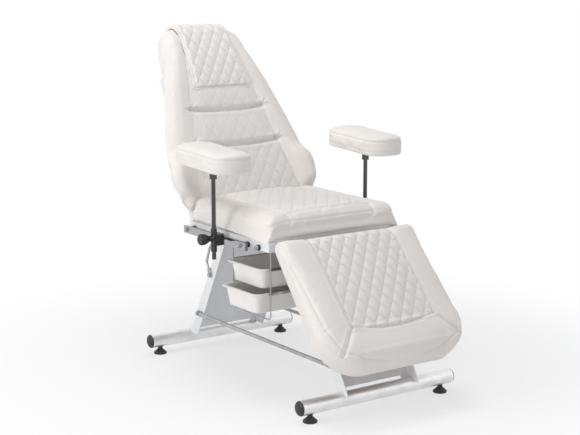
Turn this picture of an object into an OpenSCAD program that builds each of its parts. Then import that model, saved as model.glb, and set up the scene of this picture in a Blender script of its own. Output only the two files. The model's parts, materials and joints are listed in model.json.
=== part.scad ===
// Podiatry chair: two splayed sheet pedestals on foot tubes, a seat frame with
// side rails, a reclining back, a lifting leg rest, arm rests and slide-out trays.
// Millimetres. X across the chair, Y from the foot end to the head end, Z up.
// Origin on the floor, midway between the four feet.

/* [Foot tubes] */
// Distance between the axes of the two foot tubes
base_spacing = 920; // [840:5:980]
// Length of each foot tube
foot_tube_len = 600; // [560:5:660]
// Outside diameter of a foot tube
foot_tube_d = 48; // [44:0.5:52]
// Wall of a foot tube
foot_tube_wall = 2.5; // [2:0.1:3.5]
// Length of the round cap that shows outside a tube end
plug_dome = 10; // [6:0.5:14]
// Length of the cap's plug inside the tube
plug_spigot = 16; // [10:0.5:24]

/* [Levelling feet] */
// Distance of a foot's axis from the end of its tube
foot_in = 38; // [30:1:60]
// Diameter of a foot at the floor
foot_d = 46; // [40:1:54]
// Height of a foot's straight rim
foot_rim_h = 6; // [4:0.5:8]
// Height of a foot's cone with its rim
foot_cone_h = 19; // [16:0.5:21]
// Diameter at the top of the cone
foot_neck_d = 17; // [14:0.5:20]
// Height of the straight neck between the cone and the tube
foot_neck_h = 6.7; // [5:0.1:10]
// Diameter of the threaded stud
foot_stud_d = 10; // [8:0.5:12]
// Travel of a foot out of its tube
foot_travel = 12; // [8:1:14]
// Depth of the threaded bush inside the tube
foot_bush_len = 11; // [8:0.5:14]
// Wall of that bush
foot_bush_wall = 4; // [3:0.5:5]

/* [Pedestals] */
// How far a pedestal's sides lie inside the sides of the seat frame
pedestal_in = 120; // [105:1:135]
// Distance from the middle to the top of the rear web
web_top_y = 215.2; // [210:0.2:222]
// Depth of its side flanges at the foot
flange_low = 42; // [36:1:48]
// Depth of its side flanges at the top
flange_high = 30; // [24:1:36]
// Thickness of the folded sheet
sheet_t = 3; // [2:0.25:4]
// Height above the floor at which the flanges start
flange_z = 63; // [60:0.5:70]
// How far the web lies in front of the rear tube's axis
rear_web_offset = 7.5; // [4:0.5:10]
// How far the web lies behind the front tube's axis
front_web_offset = 5.6; // [3:0.1:8]
// Height of the slot under the web
web_slot_h = 4; // [2:0.5:6]
// Width left standing at each end of that slot
slot_end_w = 30; // [20:1:45]

/* [Tie bars and bent stays] */
// Diameter of a tie bar
tie_d = 13; // [10:0.5:16]
// Height of the tie bars above the floor
tie_z = 147; // [125:1:170]
// Thickness of a flattened end
eye_t = 5; // [4:0.5:6]
// Width of a flattened end
eye_w = 20; // [18:0.5:24]
// Length of a flattened end from its bolt
eye_len = 24; // [20:1:30]
// How far a flange bolt sits in front of the web
flange_bolt_in = 13; // [12:0.5:16]
// Diameter of a bent stay
stay_d = 9; // [7:0.5:11]
// Height of the bolt that holds a bent stay
stay_bolt_z = 303; // [285:1:320]
// Diameter of the M8 bolts
bolt_d = 8; // [8:0.5:10]
// Width across the corners of an M8 bolt head
bolt_head_d = 15; // [14:0.5:17]
// Height of an M8 bolt head
bolt_head_h = 5.5; // [4.5:0.5:7]

/* [Seat frame] */
// Outside width of the seat frame
seat_frame_w = 524; // [500:2:560]
// Distance from the middle to the front of the side tubes
seat_frame_front = 238; // [232:1:246]
// Distance from the middle to the rear of the seat frame
seat_frame_rear = 240; // [234:1:243]
// Height of the top of the seat frame above the floor
seat_frame_z = 520; // [505:1:535]
// Height of the frame tube
frame_tube_h = 30; // [26:1:36]
// Width of the frame tube
frame_tube_w = 25; // [20:1:30]
// Wall of the frame tube
frame_tube_wall = 2; // [1.5:0.25:3]
// How far the front cross tube lies behind the ends of the side tubes
front_tube_in = 16; // [14:0.5:20]
// Middle of the centre cross tube, in front of or behind the origin
mid_tube_y = 10; // [0:1:20]
// Thickness of the seat board
board_t = 12; // [9:1:18]
// How far the boards stop short of the upholstery
board_in = 9; // [7:0.5:14]

/* [Seat cushion] */
// Half width of the seat cushion
seat_half = 255; // [245:1:265]
// Distance from the middle to the front face of the cushion
seat_front = 232; // [226:1:236]
// Distance from the middle to the rear face of the cushion
seat_rear = 231; // [224:1:233]
// Height of the cushion's side
seat_side_h = 66; // [58:1:72]
// Rise of the top from its edge to its middle
seat_crown = 16; // [10:1:20]
// Half width of the quilted panel
seat_panel_half = 168; // [150:1:185]
// How far the sides draw in between the corners
draw_in = 4; // [2:0.5:6]
// Depth of a sewn seam
seam_depth = 5; // [3:0.5:7]

/* [Side rails] */
// Height of the accessory rail
rail_h = 25; // [25:0.5:30]
// Thickness of the accessory rail
rail_t = 10; // [8:0.5:12]
// Distance from the middle to the front end of the rail
rail_front = 155; // [145:1:165]
// Distance from the middle to the rear end of the rail
rail_rear = 222; // [215:1:226]
// Gap between the frame and the rail
rail_gap = 25; // [22:0.5:32]
// Height of the rail's middle above the seat frame's underside
rail_up = 9; // [8.5:0.25:12]
// Distance of the front bolt from the rail's end
rail_bolt_front = 33; // [24:1:38]
// Distance of the rear bolt from the rail's end
rail_bolt_rear = 18; // [14:1:22]
// Diameter of a rail spacer
spacer_d = 19; // [16:0.5:20]
// Distance from the middle to the lone bolt at the frame's front
lone_bolt_y = 183; // [178:1:200]
// Length of the black washer under the lone bolt
lone_washer_len = 8; // [6:0.5:12]

/* [Arm rests] */
// Distance of an arm post's axis outside the rail
post_out = 14; // [12.5:0.5:19]
// Distance of the arm posts behind the origin
post_y = 8; // [-10:1:14]
// Diameter of an arm post
post_d = 14; // [12:0.5:15]
// How far the left post hangs below the middle of the rail
post_drop = 66; // [50:1:80]
// Height of the underside of the left arm pad above the middle of the rail
arm_pad_up = 230; // [200:1:250]
// How much higher the right arm stands
right_arm_lift = 12; // [0:1:20]
// Diameter of the clamp's sleeve
sleeve_d = 20; // [19:0.5:24]
// Length of the sleeve below the middle of the rail
sleeve_drop = 40; // [33:1:49]
// Length of the sleeve above the middle of the rail
sleeve_rise = 36; // [29:1:46]
// Length of the clamp's jaw along the rail
jaw_len = 36; // [30:1:44]
// Thickness of the jaw above and below the rail
jaw_wall = 6; // [5:0.5:8]
// How far the jaw's lips reach behind the rail
lip_t = 4; // [3:0.5:6]
// Height of the jaw's lips
lip_h = 4; // [3:0.5:6]
// Diameter of the clamp knob
knob_d = 36; // [30:1:42]
// Thickness of the clamp knob
knob_t = 28; // [22:1:32]
// Distance from the post axis to the knob
knob_out = 26; // [22:1:30]
// Diameter of the clamp screw
knob_screw_d = 8; // [6:0.5:10]
// Number of grips round the knob
knob_grips = 8; // [6:1:10]
// Length of an arm pad in front of its post
arm_pad_front = 127; // [110:1:140]
// Length of an arm pad behind its post
arm_pad_rear = 275; // [255:1:280]
// Half width of an arm pad at its rear
arm_pad_half = 80; // [70:1:84]
// Half width of an arm pad at its front
arm_pad_nose = 72; // [62:1:78]
// Distance of the pad's centre line inboard of its post
arm_pad_shift = 36; // [24:1:42]
// Thickness of an arm pad at its edge
arm_pad_h = 46; // [40:1:52]
// Rise of an arm pad's top to its middle
arm_pad_crown = 7; // [4:0.5:10]
// Turn of the left arm pad about its post, in degrees
left_pad_turn = 8; // [0:1:12]
// Turn of the right arm pad about its post, in degrees
right_pad_turn = 12; // [0:1:16]
// Length of the socket that takes the post
pad_hub_len = 28; // [22:1:32]
// Wall of that socket
pad_hub_wall = 5; // [4:0.5:6]
// Thickness of the plate under an arm pad
pad_plate_t = 3; // [2:0.25:4]
// Length of that plate
pad_plate_len = 120; // [100:2:140]
// Width of that plate
pad_plate_w = 60; // [50:1:70]

/* [Tray rack] */
// How far the rack's wires lie inside the sides of the seat frame
rack_in = 17; // [12:0.5:22]
// Distance from the middle to the front wires
rack_front = 222; // [216:1:226]
// Distance from the front wires to the rear wires
rack_depth = 217; // [200:1:224]
// How far the bottom wires lie below the seat frame
rack_drop = 223; // [215:1:240]
// Diameter of the rack wire
wire_d = 4.5; // [4:0.25:6]
// How far the middle of the upper runners lies below the seat frame
upper_runner_drop = 60; // [58:1:66]
// How far the middle of the lower runners lies below the seat frame
lower_runner_drop = 139; // [138:1:148]
// Height of a runner channel
runner_h = 9; // [8.5:0.25:11]
// Width of a runner channel
runner_w = 8; // [7:0.25:10]
// Wall of a runner channel
runner_t = 1.25; // [1:0.25:1.5]

/* [Trays] */
// Length of a tray over its rim
tray_len = 400; // [360:5:430]
// Depth of a tray
tray_depth = 67; // [55:1:70]
// Wall of a tray
tray_wall = 2.5; // [2:0.25:3.5]
// How much each side leans in from rim to floor
tray_taper = 9; // [5:0.5:14]
// Radius of a tray's corners
tray_corner = 26; // [18:1:34]
// Thickness of the rolled rim
rim_t = 5; // [4:0.25:5.5]
// Distance of the upper tray's outer end from the middle, as pulled out
upper_tray_out = 280; // [270:1:300]
// The same for the lower tray
lower_tray_out = 303; // [290:1:320]

/* [Back] */
// Height of the back's hinge above the seat frame's underside
back_hinge_up = 15; // [13:0.5:17]
// Distance of the back's hinge behind the seat frame
back_hinge_out = 14; // [13.5:0.5:18]
// Angle of the back above level, in degrees
back_angle = 61.3; // [55:0.5:65]
// Distance from the hinge to the lower edge of the upholstery
back_low = 31; // [29:1:36]
// Distance from the hinge to the top of the upholstery
back_high = 735; // [700:5:760]
// Half width at the lower edge
back_half_low = 257; // [245:1:265]
// Half width at the widest place
back_half_max = 296; // [285:1:300]
// Half width at the start of the rounded top
back_half_top = 196; // [180:1:205]
// Height of the widest place above the hinge
back_wide_at = 185; // [160:1:210]
// Height at which the top starts to round
back_round_at = 600; // [570:5:640]
// Front surface in front of the hinge
back_face = 36; // [32:0.5:38]
// Rear surface behind the hinge
back_rear = 38; // [34:0.5:42]
// How far the lower wings stand in front of the centre
wing_bulge = 30; // [18:1:34]
// Half width of the quilted panel at the lower edge
back_panel_low = 215; // [195:1:225]
// Half width of the quilted panel at the top
back_panel_top = 104; // [95:1:112]
// Height of the lower sewn channel above the hinge
channel_low = 263; // [240:1:285]
// Height of the upper sewn channel above the hinge
channel_high = 395; // [370:1:420]
// Depth of a sewn channel
channel_depth = 13; // [8:0.5:16]

/* [Head pad] */
// Height of the pad's lower edge above the hinge
head_low = 479; // [460:1:500]
// Half width at the lower edge
head_half_low = 119; // [108:1:124]
// Half width over the top
head_half_top = 106; // [96:1:112]
// Thickness of the head pad
head_t = 15; // [12:0.5:18]
// How far the pad hangs down behind the back
head_rear_len = 90; // [70:5:120]

/* [Leg rest] */
// Height of the leg rest's hinge above the seat frame's underside
leg_hinge_up = 4; // [3:0.5:6]
// Distance of the leg rest's hinge in front of the front cross tube
leg_hinge_out = 13; // [12.5:0.5:16]
// Angle of the leg rest's rear face below level, in degrees
leg_drop = 49.5; // [44:0.5:50]
// Distance from the hinge to the upper end of the upholstery
leg_start = 5; // [3:0.5:8]
// Distance from the hinge to the lower end of the upholstery
leg_end = 462; // [440:2:480]
// Distance from the hinge to the rear face of the upholstery
leg_rear = 19.5; // [18:0.5:22]
// Thickness at the upper end
leg_thick_high = 50; // [46:1:56]
// Thickness at the lower end
leg_thick_low = 88; // [76:1:92]
// Half width at the upper end
leg_half_high = 256; // [245:1:262]
// Half width at the widest place
leg_half_low = 288; // [275:1:292]
// Radius of the lower corners
leg_corner = 84; // [70:2:100]
// Rise of the face from its edge to its middle
leg_crown = 18; // [12:1:22]
// Half width of the quilted panel
leg_panel_half = 162; // [150:1:175]
// Distance from the hinge to the seam above the foot bolster
bolster_at = 352; // [330:2:370]

/* [Hinges] */
// Thickness of the hinge plates
hinge_t = 6; // [5:0.5:8]
// Diameter of a hinge pin
hinge_pin_d = 10; // [8:0.5:12]
// Radius of the hinge plates round the pin
hinge_r = 12; // [11:0.5:12.5]
// Distance of the back's hinge plates inside the side tubes
back_arm_in = 27; // [23:1:32]
// Distance of the leg rest's hinge plates inside the side tubes
leg_arm_in = 47; // [37:1:57]
// Diameter of a pin's head
pin_head_d = 17; // [15:0.5:20]
// Height of a pin's head
pin_head_h = 4; // [3:0.5:5]

/* [Gas springs] */
// Diameter of a gas spring's cylinder
spring_d = 20; // [18:0.5:22]
// Diameter of a gas spring's rod
spring_rod_d = 9; // [8:0.5:10]
// Diameter of the pins at its ends
spring_pin_d = 8; // [7:0.5:9]
// Width of a spring's end eye
spring_eye_t = 10; // [8:0.5:12]
// Play left in the open pivot, each way
open_pivot_play = 5.2; // [5:0.1:6]
// Length of the back spring's cylinder
back_cylinder_len = 150; // [140:1:160]
// Length of the leg spring's cylinder
leg_cylinder_len = 150; // [140:1:160]

/* [Hidden] */

// Clearances and overruns
run = 0.05;       // radial play of a running fit
slide_play = 0.1; // play of the clamp on its rail
near = 0.3;       // gap between soft or loose neighbours
weld = 0.2;       // gap left at a welded seat
over = 1;         // overrun of a cut
fine = 64;        // facets of a round cut

// Where the hinges lie
back_y = seat_frame_rear + back_hinge_out;
back_z = seat_frame_z - frame_tube_h + back_hinge_up;
leg_y = -(seat_frame_front - front_tube_in) - leg_hinge_out;
leg_z = seat_frame_z - frame_tube_h + leg_hinge_up;

// Seat frame
frame_low = seat_frame_z - frame_tube_h;
side_tube_x = seat_frame_w / 2 - frame_tube_w; // inner face of a side tube
back_arm_x = side_tube_x - back_arm_in;
leg_arm_x = side_tube_x - leg_arm_in;
front_tube_y = -(seat_frame_front - front_tube_in); // front face of that tube
pedestal_tube_y = 180; // middle of the tubes over the pedestals
lug_play = 0.4;        // gap between a hinge plate and its lugs

// Feet and pedestals
foot_pitch = foot_tube_len - 2 * foot_in;
foot_tube_z = foot_cone_h + foot_neck_h + near + foot_tube_d / 2;
pedestal_w = seat_frame_w - 2 * pedestal_in;
plate_low = frame_low - sheet_t;
lean_run = (base_spacing / 2 - rear_web_offset - web_top_y) / (plate_low - foot_tube_z);
pedestal_lean = atan(lean_run);
sheet_run = sheet_t / cos(pedestal_lean);
function rear_web_y(z) = base_spacing / 2 - rear_web_offset
    - (z - foot_tube_z) * lean_run;
function front_web_y(z) = -base_spacing / 2 + front_web_offset
    + (z - foot_tube_z) * lean_run;
foot_tube_in = foot_tube_d - 2 * foot_tube_wall;
bolt_hole_d = bolt_d + 2 * run;
nut_h = 6.5;           // height of a nut
plate_bolt_in = 42;    // the bolts of a top plate from its sides
plate_bolt_x = pedestal_w / 2 - plate_bolt_in;
foot_chamfer = 1.5;    // chamfer round a levelling foot
washer_t = 1.5;        // thickness of a washer
washer_d = 17;         // diameter of a washer

// Gas springs: their pivots
spring_end = 16;       // from a pivot to the end of the cylinder
spring_inside = 45;    // length of rod inside the cylinder at rest
spring_blind = 8;      // closed end of the cylinder
gland_t = 5;           // height of the gland round the rod
gland_d = 16;          // diameter of that gland
eye_r = 9;             // radius of an end eye
eye_play = 0.4;        // side gap of an end eye
bracket_t = 6;         // thickness of a bracket plate
bracket_r = 12;        // radius of a bracket plate round its pin
pin_cap_d = 23;        // diameter of the washer over the open pivot
pin_cap_t = 3;         // thickness of that washer
back_pivot_drop = 24;  // the back spring's fixed pivot under the frame
back_lever_low = 32.5; // its moving pivot below the hinge, along the back
back_lever_behind = 44.2; // and behind the hinge
lever_r = 16;          // radius of a lever round its hole
leg_pivot_z = 170;     // height of the leg spring's fixed pivot
leg_pivot_in = 18.7;   // how far it lies in front of the web
leg_lever_down = 70;   // its moving pivot along the leg rest
leg_lever_behind = 25; // and behind the hinge line
back_fix = [back_arm_x - hinge_t / 2 - eye_play - spring_eye_t / 2,
    mid_tube_y, frame_low - back_pivot_drop];
back_move = [back_fix.x,
    back_y - back_lever_low * cos(back_angle) + back_lever_behind * sin(back_angle),
    back_z - back_lever_low * sin(back_angle) - back_lever_behind * cos(back_angle)];
leg_fix = [leg_arm_x - hinge_t / 2 - eye_play - spring_eye_t / 2,
    front_web_y(leg_pivot_z) - leg_pivot_in, leg_pivot_z];
leg_move = [leg_fix.x,
    leg_y - leg_lever_down * cos(leg_drop) + leg_lever_behind * sin(leg_drop),
    leg_z - leg_lever_down * sin(leg_drop) - leg_lever_behind * cos(leg_drop)];
open_hole_d = spring_pin_d + 2 * open_pivot_play;

// Side rails and arm posts
rail_x = seat_frame_w / 2 + rail_gap; // inner face of a rail
rail_z = frame_low + rail_up;
post_x = rail_x + rail_t + post_out;
post_low_z = rail_z - post_drop;
arm_pad_z = rail_z + arm_pad_up;

// Runners and trays
rack_half = seat_frame_w / 2 - rack_in;
rack_low_z = frame_low - rack_drop;
upper_runner_z = frame_low - upper_runner_drop;
lower_runner_z = frame_low - lower_runner_drop;
runner_front_y = -rack_front + wire_d / 2 + weld; // outer face of the front ones
runner_rear_y = -rack_front + rack_depth - wire_d / 2 - weld;
tray_play = 0.6;       // play of a tray's rim in its runners
tray_y0 = runner_front_y + runner_t + tray_play;
tray_y1 = runner_rear_y - runner_t - tray_play;
rim_w = 14;            // width of a tray's rim over its wall
rack_bend = 14;        // radius of the wire's bends

// Soft parts
soft_edge = 22;        // radius of a cushion's edge
seam_w = 5;            // half width of a sewn seam
channel_w = 14;        // half width of a channel
puff = 8;              // how far the wings puff up
edge_drop = 14;        // how far the face falls to its edge
back_board_low = 12;   // how far the back board stops short of the lower edge
back_board_h = 560;    // length of the back board
back_board_half = 200; // its half width
back_frame_t = 20;     // square tube of the back's frame
back_post_top = 560;   // top of the back frame above the hinge
end_shares = [0.03, 0.16, 0.42, 1];

function lerp(a, b, k) = a + (b - a) * k;
function limit(k) = max(0, min(1, k));
function ease(k) = let(c = limit(k)) c * c * (3 - 2 * c);
function bow(k) = sin(180 * limit(k));
function quarter(d, r) = d >= r ? 1 : sqrt(max(0, 1 - pow(1 - d / r, 2)));
function mean(list) = [for (a = [0:2]) sum([for (p = list) p[a]]) / len(list)];
function sum(list, i = 0) = i >= len(list) ? 0 : list[i] + sum(list, i + 1);

// Rounded outline as a list of points
function rounded(lx, ly, r, steps = 6) = [for (q = [0:3], i = [0:steps])
    let(a = 90 * q + 90 * i / steps,
        cx = (q == 0 || q == 3 ? 1 : -1) * (lx / 2 - r),
        cy = (q < 2 ? 1 : -1) * (ly / 2 - r))
    [cx + r * cos(a), cy + r * sin(a)]];

// Closed surface through rings that have the same number of points
module loft(rings) {
    n = len(rings[0]);
    m = len(rings);
    points = concat([for (r = rings) each r], [mean(rings[0]), mean(rings[m - 1])]);
    faces = concat(
        [for (i = [0:m - 2], j = [0:n - 1])
            let(a = i * n + j, b = i * n + (j + 1) % n)
            each [[a, b + n, b], [a, a + n, b + n]]],
        [for (j = [0:n - 1]) [n * m, j, (j + 1) % n]],
        [for (j = [0:n - 1])
            [n * m + 1, (m - 1) * n + (j + 1) % n, (m - 1) * n + j]]);
    polyhedron(points, faces);
}

// Across a cushion's face, from the middle outwards: place and depth of seam
function half_row(edge, panel) = [
    [panel * 0.36, 0], [panel * 0.7, 0], [panel - seam_w, 0.1], [panel, 1],
    [panel + seam_w, 0.1], [lerp(panel, edge, 0.45), 0],
    [lerp(panel, edge, 0.8), 0], [edge, 0]];
function face_row(edge, panel) = let(h = half_row(edge, panel)) concat(
    [for (i = [len(h) - 1:-1:0]) [-h[i][0], h[i][1]]], [[0, 0]], h);
face_edge_share = 0.95;
// Right side of a section, down from the face: shares of half width and height
side_shares = [[0.988, 0.84], [1, 0.6], [0.985, 0.3], [0.97, 0.06], [0.94, 0]];

// One section: half width, panel, rear and face heights, seam depth, end share
function section(half, panel, rear, faces, seam, k) = let(
    edge = half * face_edge_share,
    row = face_row(edge, panel),
    top = [for (i = [0:len(row) - 1]) [row[i][0], faces[i] - row[i][1] * seam]],
    last = faces[len(faces) - 1],
    mid = rear + (last - rear) * 0.45,
    right = [for (s = side_shares) [half * s[0], lerp(rear, last, s[1])]],
    left = [for (i = [len(right) - 1:-1:0]) [-right[i][0], right[i][1]]],
    all = concat(top, right, [[0, rear]], left))
    [for (p = all) [p[0], lerp(mid, p[1], k)]];

module both_sides() {
    children();
    mirror([1, 0, 0]) children();
}
module block(x, y, z) {
    translate([x[0], y[0], z[0]]) cube([x[1] - x[0], y[1] - y[0], z[1] - z[0]]);
}
module x_rod(x, y, z, d) {
    translate([x[0], y, z]) rotate([0, 90, 0])
        cylinder(h = x[1] - x[0], d = d, $fn = fine);
}
module z_rod(x, y, z, d) {
    translate([x, y, z[0]]) cylinder(h = z[1] - z[0], d = d, $fn = fine);
}
module rod(a, b, d) {
    v = b - a;
    translate(a) rotate([0, acos(v.z / norm(v)), atan2(v.y, v.x)])
        cylinder(h = norm(v), d = d, $fn = fine);
}
// Rod bent in a plane that faces X: it goes through [y, z] points with one bend radius.
// Its bends are a hair thicker, and the straight lengths run a little way into them
module bent_rod(x, points, r, d) {
    last = len(points) - 1;
    u = [for (i = [0:last - 1]) (points[i + 1] - points[i])
        / norm(points[i + 1] - points[i])];
    turn = [0, for (i = [1:last - 1]) asin(cross(u[i - 1], u[i])), 0];
    cut = [for (a = turn) r * tan(abs(a) / 2)];
    for (i = [0:last - 1]) {
        a = points[i] + u[i] * max(0, cut[i] - weld);
        b = points[i + 1] - u[i] * max(0, cut[i + 1] - weld);
        rod([x, a.x, a.y], [x, b.x, b.y], d);
    }
    for (i = [1:last - 1]) {
        v = u[i - 1];
        c = points[i] - v * cut[i] + sign(turn[i]) * r * [-v.y, v.x];
        translate([x, 0, 0]) rotate([90, 0, 90]) translate([c.x, c.y, 0])
            rotate([0, 0, atan2(v.y, v.x) - sign(turn[i]) * 90 + min(0, turn[i])])
                rotate_extrude(angle = abs(turn[i]), $fn = fine)
                    translate([r, 0]) circle(d = d + 2 * run, $fn = fine);
    }
}
// Sheet lying in the Y-Z plane between two x values
module side_sheet(x) {
    translate([x[0], 0, 0]) rotate([90, 0, 90])
        linear_extrude(height = x[1] - x[0]) children();
}
// Hexagon bolt along X: its head lies outside x_head, towards out
module x_bolt(x_head, reach, y, z, out) {
    translate([x_head, y, z]) rotate([0, 90 * out, 0]) {
        cylinder(h = washer_t, d = washer_d, $fn = fine);
        translate([0, 0, washer_t])
            cylinder(h = bolt_head_h, d = bolt_head_d, $fn = 6);
        translate([0, 0, -reach]) cylinder(h = reach + washer_t, d = bolt_d, $fn = fine);
    }
}
// Nut along X, with a flat below so that it clears the tube's floor
module x_nut(x, y, z, out) {
    translate([x, y, z]) rotate([0, 90 * out, 0]) rotate([0, 0, 30])
        cylinder(h = nut_h, d = bolt_head_d, $fn = 6);
}

// Foot tubes, their caps and the levelling feet
module foot_tube(y) {
    difference() {
        union() {
            difference() {
                x_rod([-foot_tube_len / 2, foot_tube_len / 2], y, foot_tube_z,
                    foot_tube_d);
                x_rod([-foot_tube_len / 2 - over, foot_tube_len / 2 + over], y,
                    foot_tube_z, foot_tube_in);
            }
            for (x = [-foot_pitch / 2, foot_pitch / 2])
                z_rod(x, y, [bush_low, bush_low + foot_bush_len],
                    foot_stud_d + 2 * foot_bush_wall);
        }
        for (x = [-foot_pitch / 2, foot_pitch / 2])
            z_rod(x, y, [foot_tube_z - foot_tube_d, bush_low + foot_bush_len + over],
                foot_stud_d + 2 * run);
    }
}
bush_low = foot_tube_z - foot_tube_in / 2 - foot_tube_wall * 0.2;
module rear_foot_tube() { color("silver") foot_tube(base_spacing / 2); }
module front_foot_tube() { color("silver") foot_tube(-base_spacing / 2); }
module tube_end_plugs() {
    color([0.1, 0.1, 0.11]) for (y = [-base_spacing / 2, base_spacing / 2])
        both_sides() translate([foot_tube_len / 2, y, foot_tube_z])
            rotate([0, 90, 0]) {
                rotate_extrude($fn = fine) polygon(concat([[0, 0]],
                    [for (a = [0:15:90])
                        [foot_tube_d / 2 * cos(a), plug_dome * sin(a)]]));
                translate([0, 0, -plug_spigot])
                    cylinder(h = plug_spigot, d = foot_tube_in - 2 * run, $fn = fine);
            }
}
module levelling_foot(x, y) {
    color([0.09, 0.09, 0.1]) translate([x, y, 0]) {
        rotate_extrude($fn = fine) polygon([[0, 0], [foot_d / 2 - foot_chamfer, 0],
            [foot_d / 2, foot_chamfer], [foot_d / 2, foot_rim_h],
            [foot_neck_d / 2, foot_cone_h],
            [foot_neck_d / 2, foot_tube_z - foot_tube_d / 2 - near],
            [0, foot_tube_z - foot_tube_d / 2 - near]]);
        translate([0, 0, foot_cone_h]) cylinder(d = foot_stud_d, $fn = fine,
            h = bush_low + foot_bush_len + foot_travel + foot_rim_h - foot_cone_h);
    }
}
module rear_left_foot() { levelling_foot(-foot_pitch / 2, base_spacing / 2); }
module rear_right_foot() { levelling_foot(foot_pitch / 2, base_spacing / 2); }
module front_left_foot() { levelling_foot(-foot_pitch / 2, -base_spacing / 2); }
module front_right_foot() { levelling_foot(foot_pitch / 2, -base_spacing / 2); }

// A pedestal is a folded channel: web, two side flanges and a top plate
module pedestal(y_low, y_high, plate_y, tube_y) {
    half = pedestal_w / 2;
    low = flange_low / cos(pedestal_lean);
    high = flange_high / cos(pedestal_lean);
    difference() {
        union() {
            side_sheet([-half, half]) polygon([[y_low, flange_z],
                [y_low + sheet_run, flange_z], [y_high + sheet_run, plate_low],
                [y_high, plate_low]]);
            both_sides() side_sheet([half - sheet_t, half]) polygon([
                [y_low - low, flange_z], [y_low + sheet_run, flange_z],
                [y_high + sheet_run, plate_low], [y_high - high, plate_low]]);
            block([-half, half], plate_y, [plate_low, frame_low]);
        }
        x_rod([-half - over, half + over], tube_y, foot_tube_z,
            foot_tube_d + 2 * weld);
        slot_z = foot_tube_z + foot_tube_d / 2;
        block([-half + slot_end_w, half - slot_end_w],
            [y_low - low, y_low + low],
            [flange_z - over, slot_z + web_slot_h]);
    }
}
// Heights of the flange bolts are drilled through both flanges
module flange_holes(y, z, x) {
    translate([0, y, z]) rotate([0, 90, 0]) translate([0, 0, x[0]])
        cylinder(h = x[1] - x[0], d = bolt_hole_d, $fn = fine);
}
rear_tie_y = rear_web_y(tie_z) - flange_bolt_in;
front_tie_y = front_web_y(tie_z) - flange_bolt_in;
stay_y = rear_web_y(stay_bolt_z) - flange_bolt_in;
module rear_pedestal() {
    wide = pedestal_w / 2 + over;
    color("white") difference() {
        pedestal(rear_web_y(flange_z), rear_web_y(plate_low),
            [pedestal_tube_y - frame_tube_w / 2, rear_web_y(plate_low) + sheet_run],
            base_spacing / 2);
        flange_holes(rear_tie_y, tie_z, [-wide, wide]);
        flange_holes(stay_y, stay_bolt_z, [-wide, wide]);
        both_sides() z_rod(plate_bolt_x, pedestal_tube_y,
            [plate_low - over, frame_low + over], bolt_hole_d);
    }
}
module front_pedestal() {
    wide = pedestal_w / 2 + over;
    color("white") difference() {
        pedestal(front_web_y(flange_z), front_web_y(plate_low),
            [front_web_y(plate_low), -pedestal_tube_y + frame_tube_w / 2],
            -base_spacing / 2);
        flange_holes(front_tie_y, tie_z, [-wide, wide]);
        translate([0, leg_fix.y, leg_fix.z]) rotate([0, 90, 0])
            cylinder(h = wide, d = spring_pin_d + 2 * run, $fn = fine);
        both_sides() z_rod(plate_bolt_x, -pedestal_tube_y,
            [plate_low - over, frame_low + over], bolt_hole_d);
    }
}

// Tie bars with flattened ends, and the bent stays
tie_x = pedestal_w / 2 + near + tie_d / 2;
stay_x = pedestal_w / 2 + near + stay_d / 2;
module eye(y, z, toward, bar_d) {
    half = pedestal_w / 2;
    x_rod([half, half + eye_t], y, z, eye_w);
    v = toward / norm(toward);
    translate([half, y, z]) rotate([atan2(v.y, v.x), 0, 0])
        block([0, eye_t], [0, eye_len], [-eye_w / 2, eye_w / 2]);
}
module tie_bar() {
    half = pedestal_w / 2;
    difference() {
        union() {
            eye(rear_tie_y, tie_z, [-1, 0], tie_d);
            eye(front_tie_y, tie_z, [1, 0], tie_d);
            rod([tie_x, front_tie_y + eye_len * 0.75, tie_z],
                [tie_x, rear_tie_y - eye_len * 0.75, tie_z], tie_d);
        }
        for (y = [front_tie_y, rear_tie_y])
            x_rod([half - over, half + tie_d + over], y, tie_z, bolt_hole_d);
    }
}
module left_tie_bar() { color([0.6, 0.62, 0.64]) mirror([1, 0, 0]) tie_bar(); }
module right_tie_bar() { color([0.6, 0.62, 0.64]) tie_bar(); }
// The bows of a bent stay, from its bolt up to the rear tube of the seat frame
stay_rise_shares = [0.24, 0.53, 0.8];
stay_bow = 20;         // how far its lowest bow stands behind the bolt
eye_start_share = 0.36; // where its round rod starts on the way to that bow
stay_set = 1.5;        // how far the next bows stand in front of bolt and hinge
stay_end_y = seat_frame_rear - frame_tube_w / 2;
stay_y_rows = [stay_y + stay_bow, stay_y - stay_set, back_y - stay_set];
stay_bend = 14;        // radius of the bows
stay_path = concat([[stay_y, stay_bolt_z]],
    [for (i = [0:2]) [stay_y_rows[i], lerp(stay_bolt_z, frame_low, stay_rise_shares[i])]],
    [[stay_end_y, frame_low - 2 * stay_d], [stay_end_y, frame_low - weld]]);
module bent_stay() {
    half = pedestal_w / 2;
    d1 = stay_path[1] - stay_path[0];
    rest = [for (i = [1:len(stay_path) - 1]) stay_path[i]];
    difference() {
        union() {
            eye(stay_y, stay_bolt_z, d1, stay_d);
            bent_rod(stay_x, concat([stay_path[0] + d1 * eye_start_share], rest),
                stay_bend, stay_d);
        }
        x_rod([half - over, half + stay_d + over], stay_y, stay_bolt_z, bolt_hole_d);
    }
}
module left_bent_stay() { color([0.6, 0.62, 0.64]) mirror([1, 0, 0]) bent_stay(); }
module right_bent_stay() { color([0.6, 0.62, 0.64]) bent_stay(); }
module pedestal_bolts() {
    x_out = pedestal_w / 2 + eye_t;
    reach = eye_t + sheet_t + nut_h;
    color([0.5, 0.51, 0.53]) both_sides()
        for (p = [[rear_tie_y, tie_z], [front_tie_y, tie_z], [stay_y, stay_bolt_z]]) {
            x_bolt(x_out, reach, p[0], p[1], 1);
            x_nut(pedestal_w / 2 - sheet_t, p[0], p[1], -1);
        }
}

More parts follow.
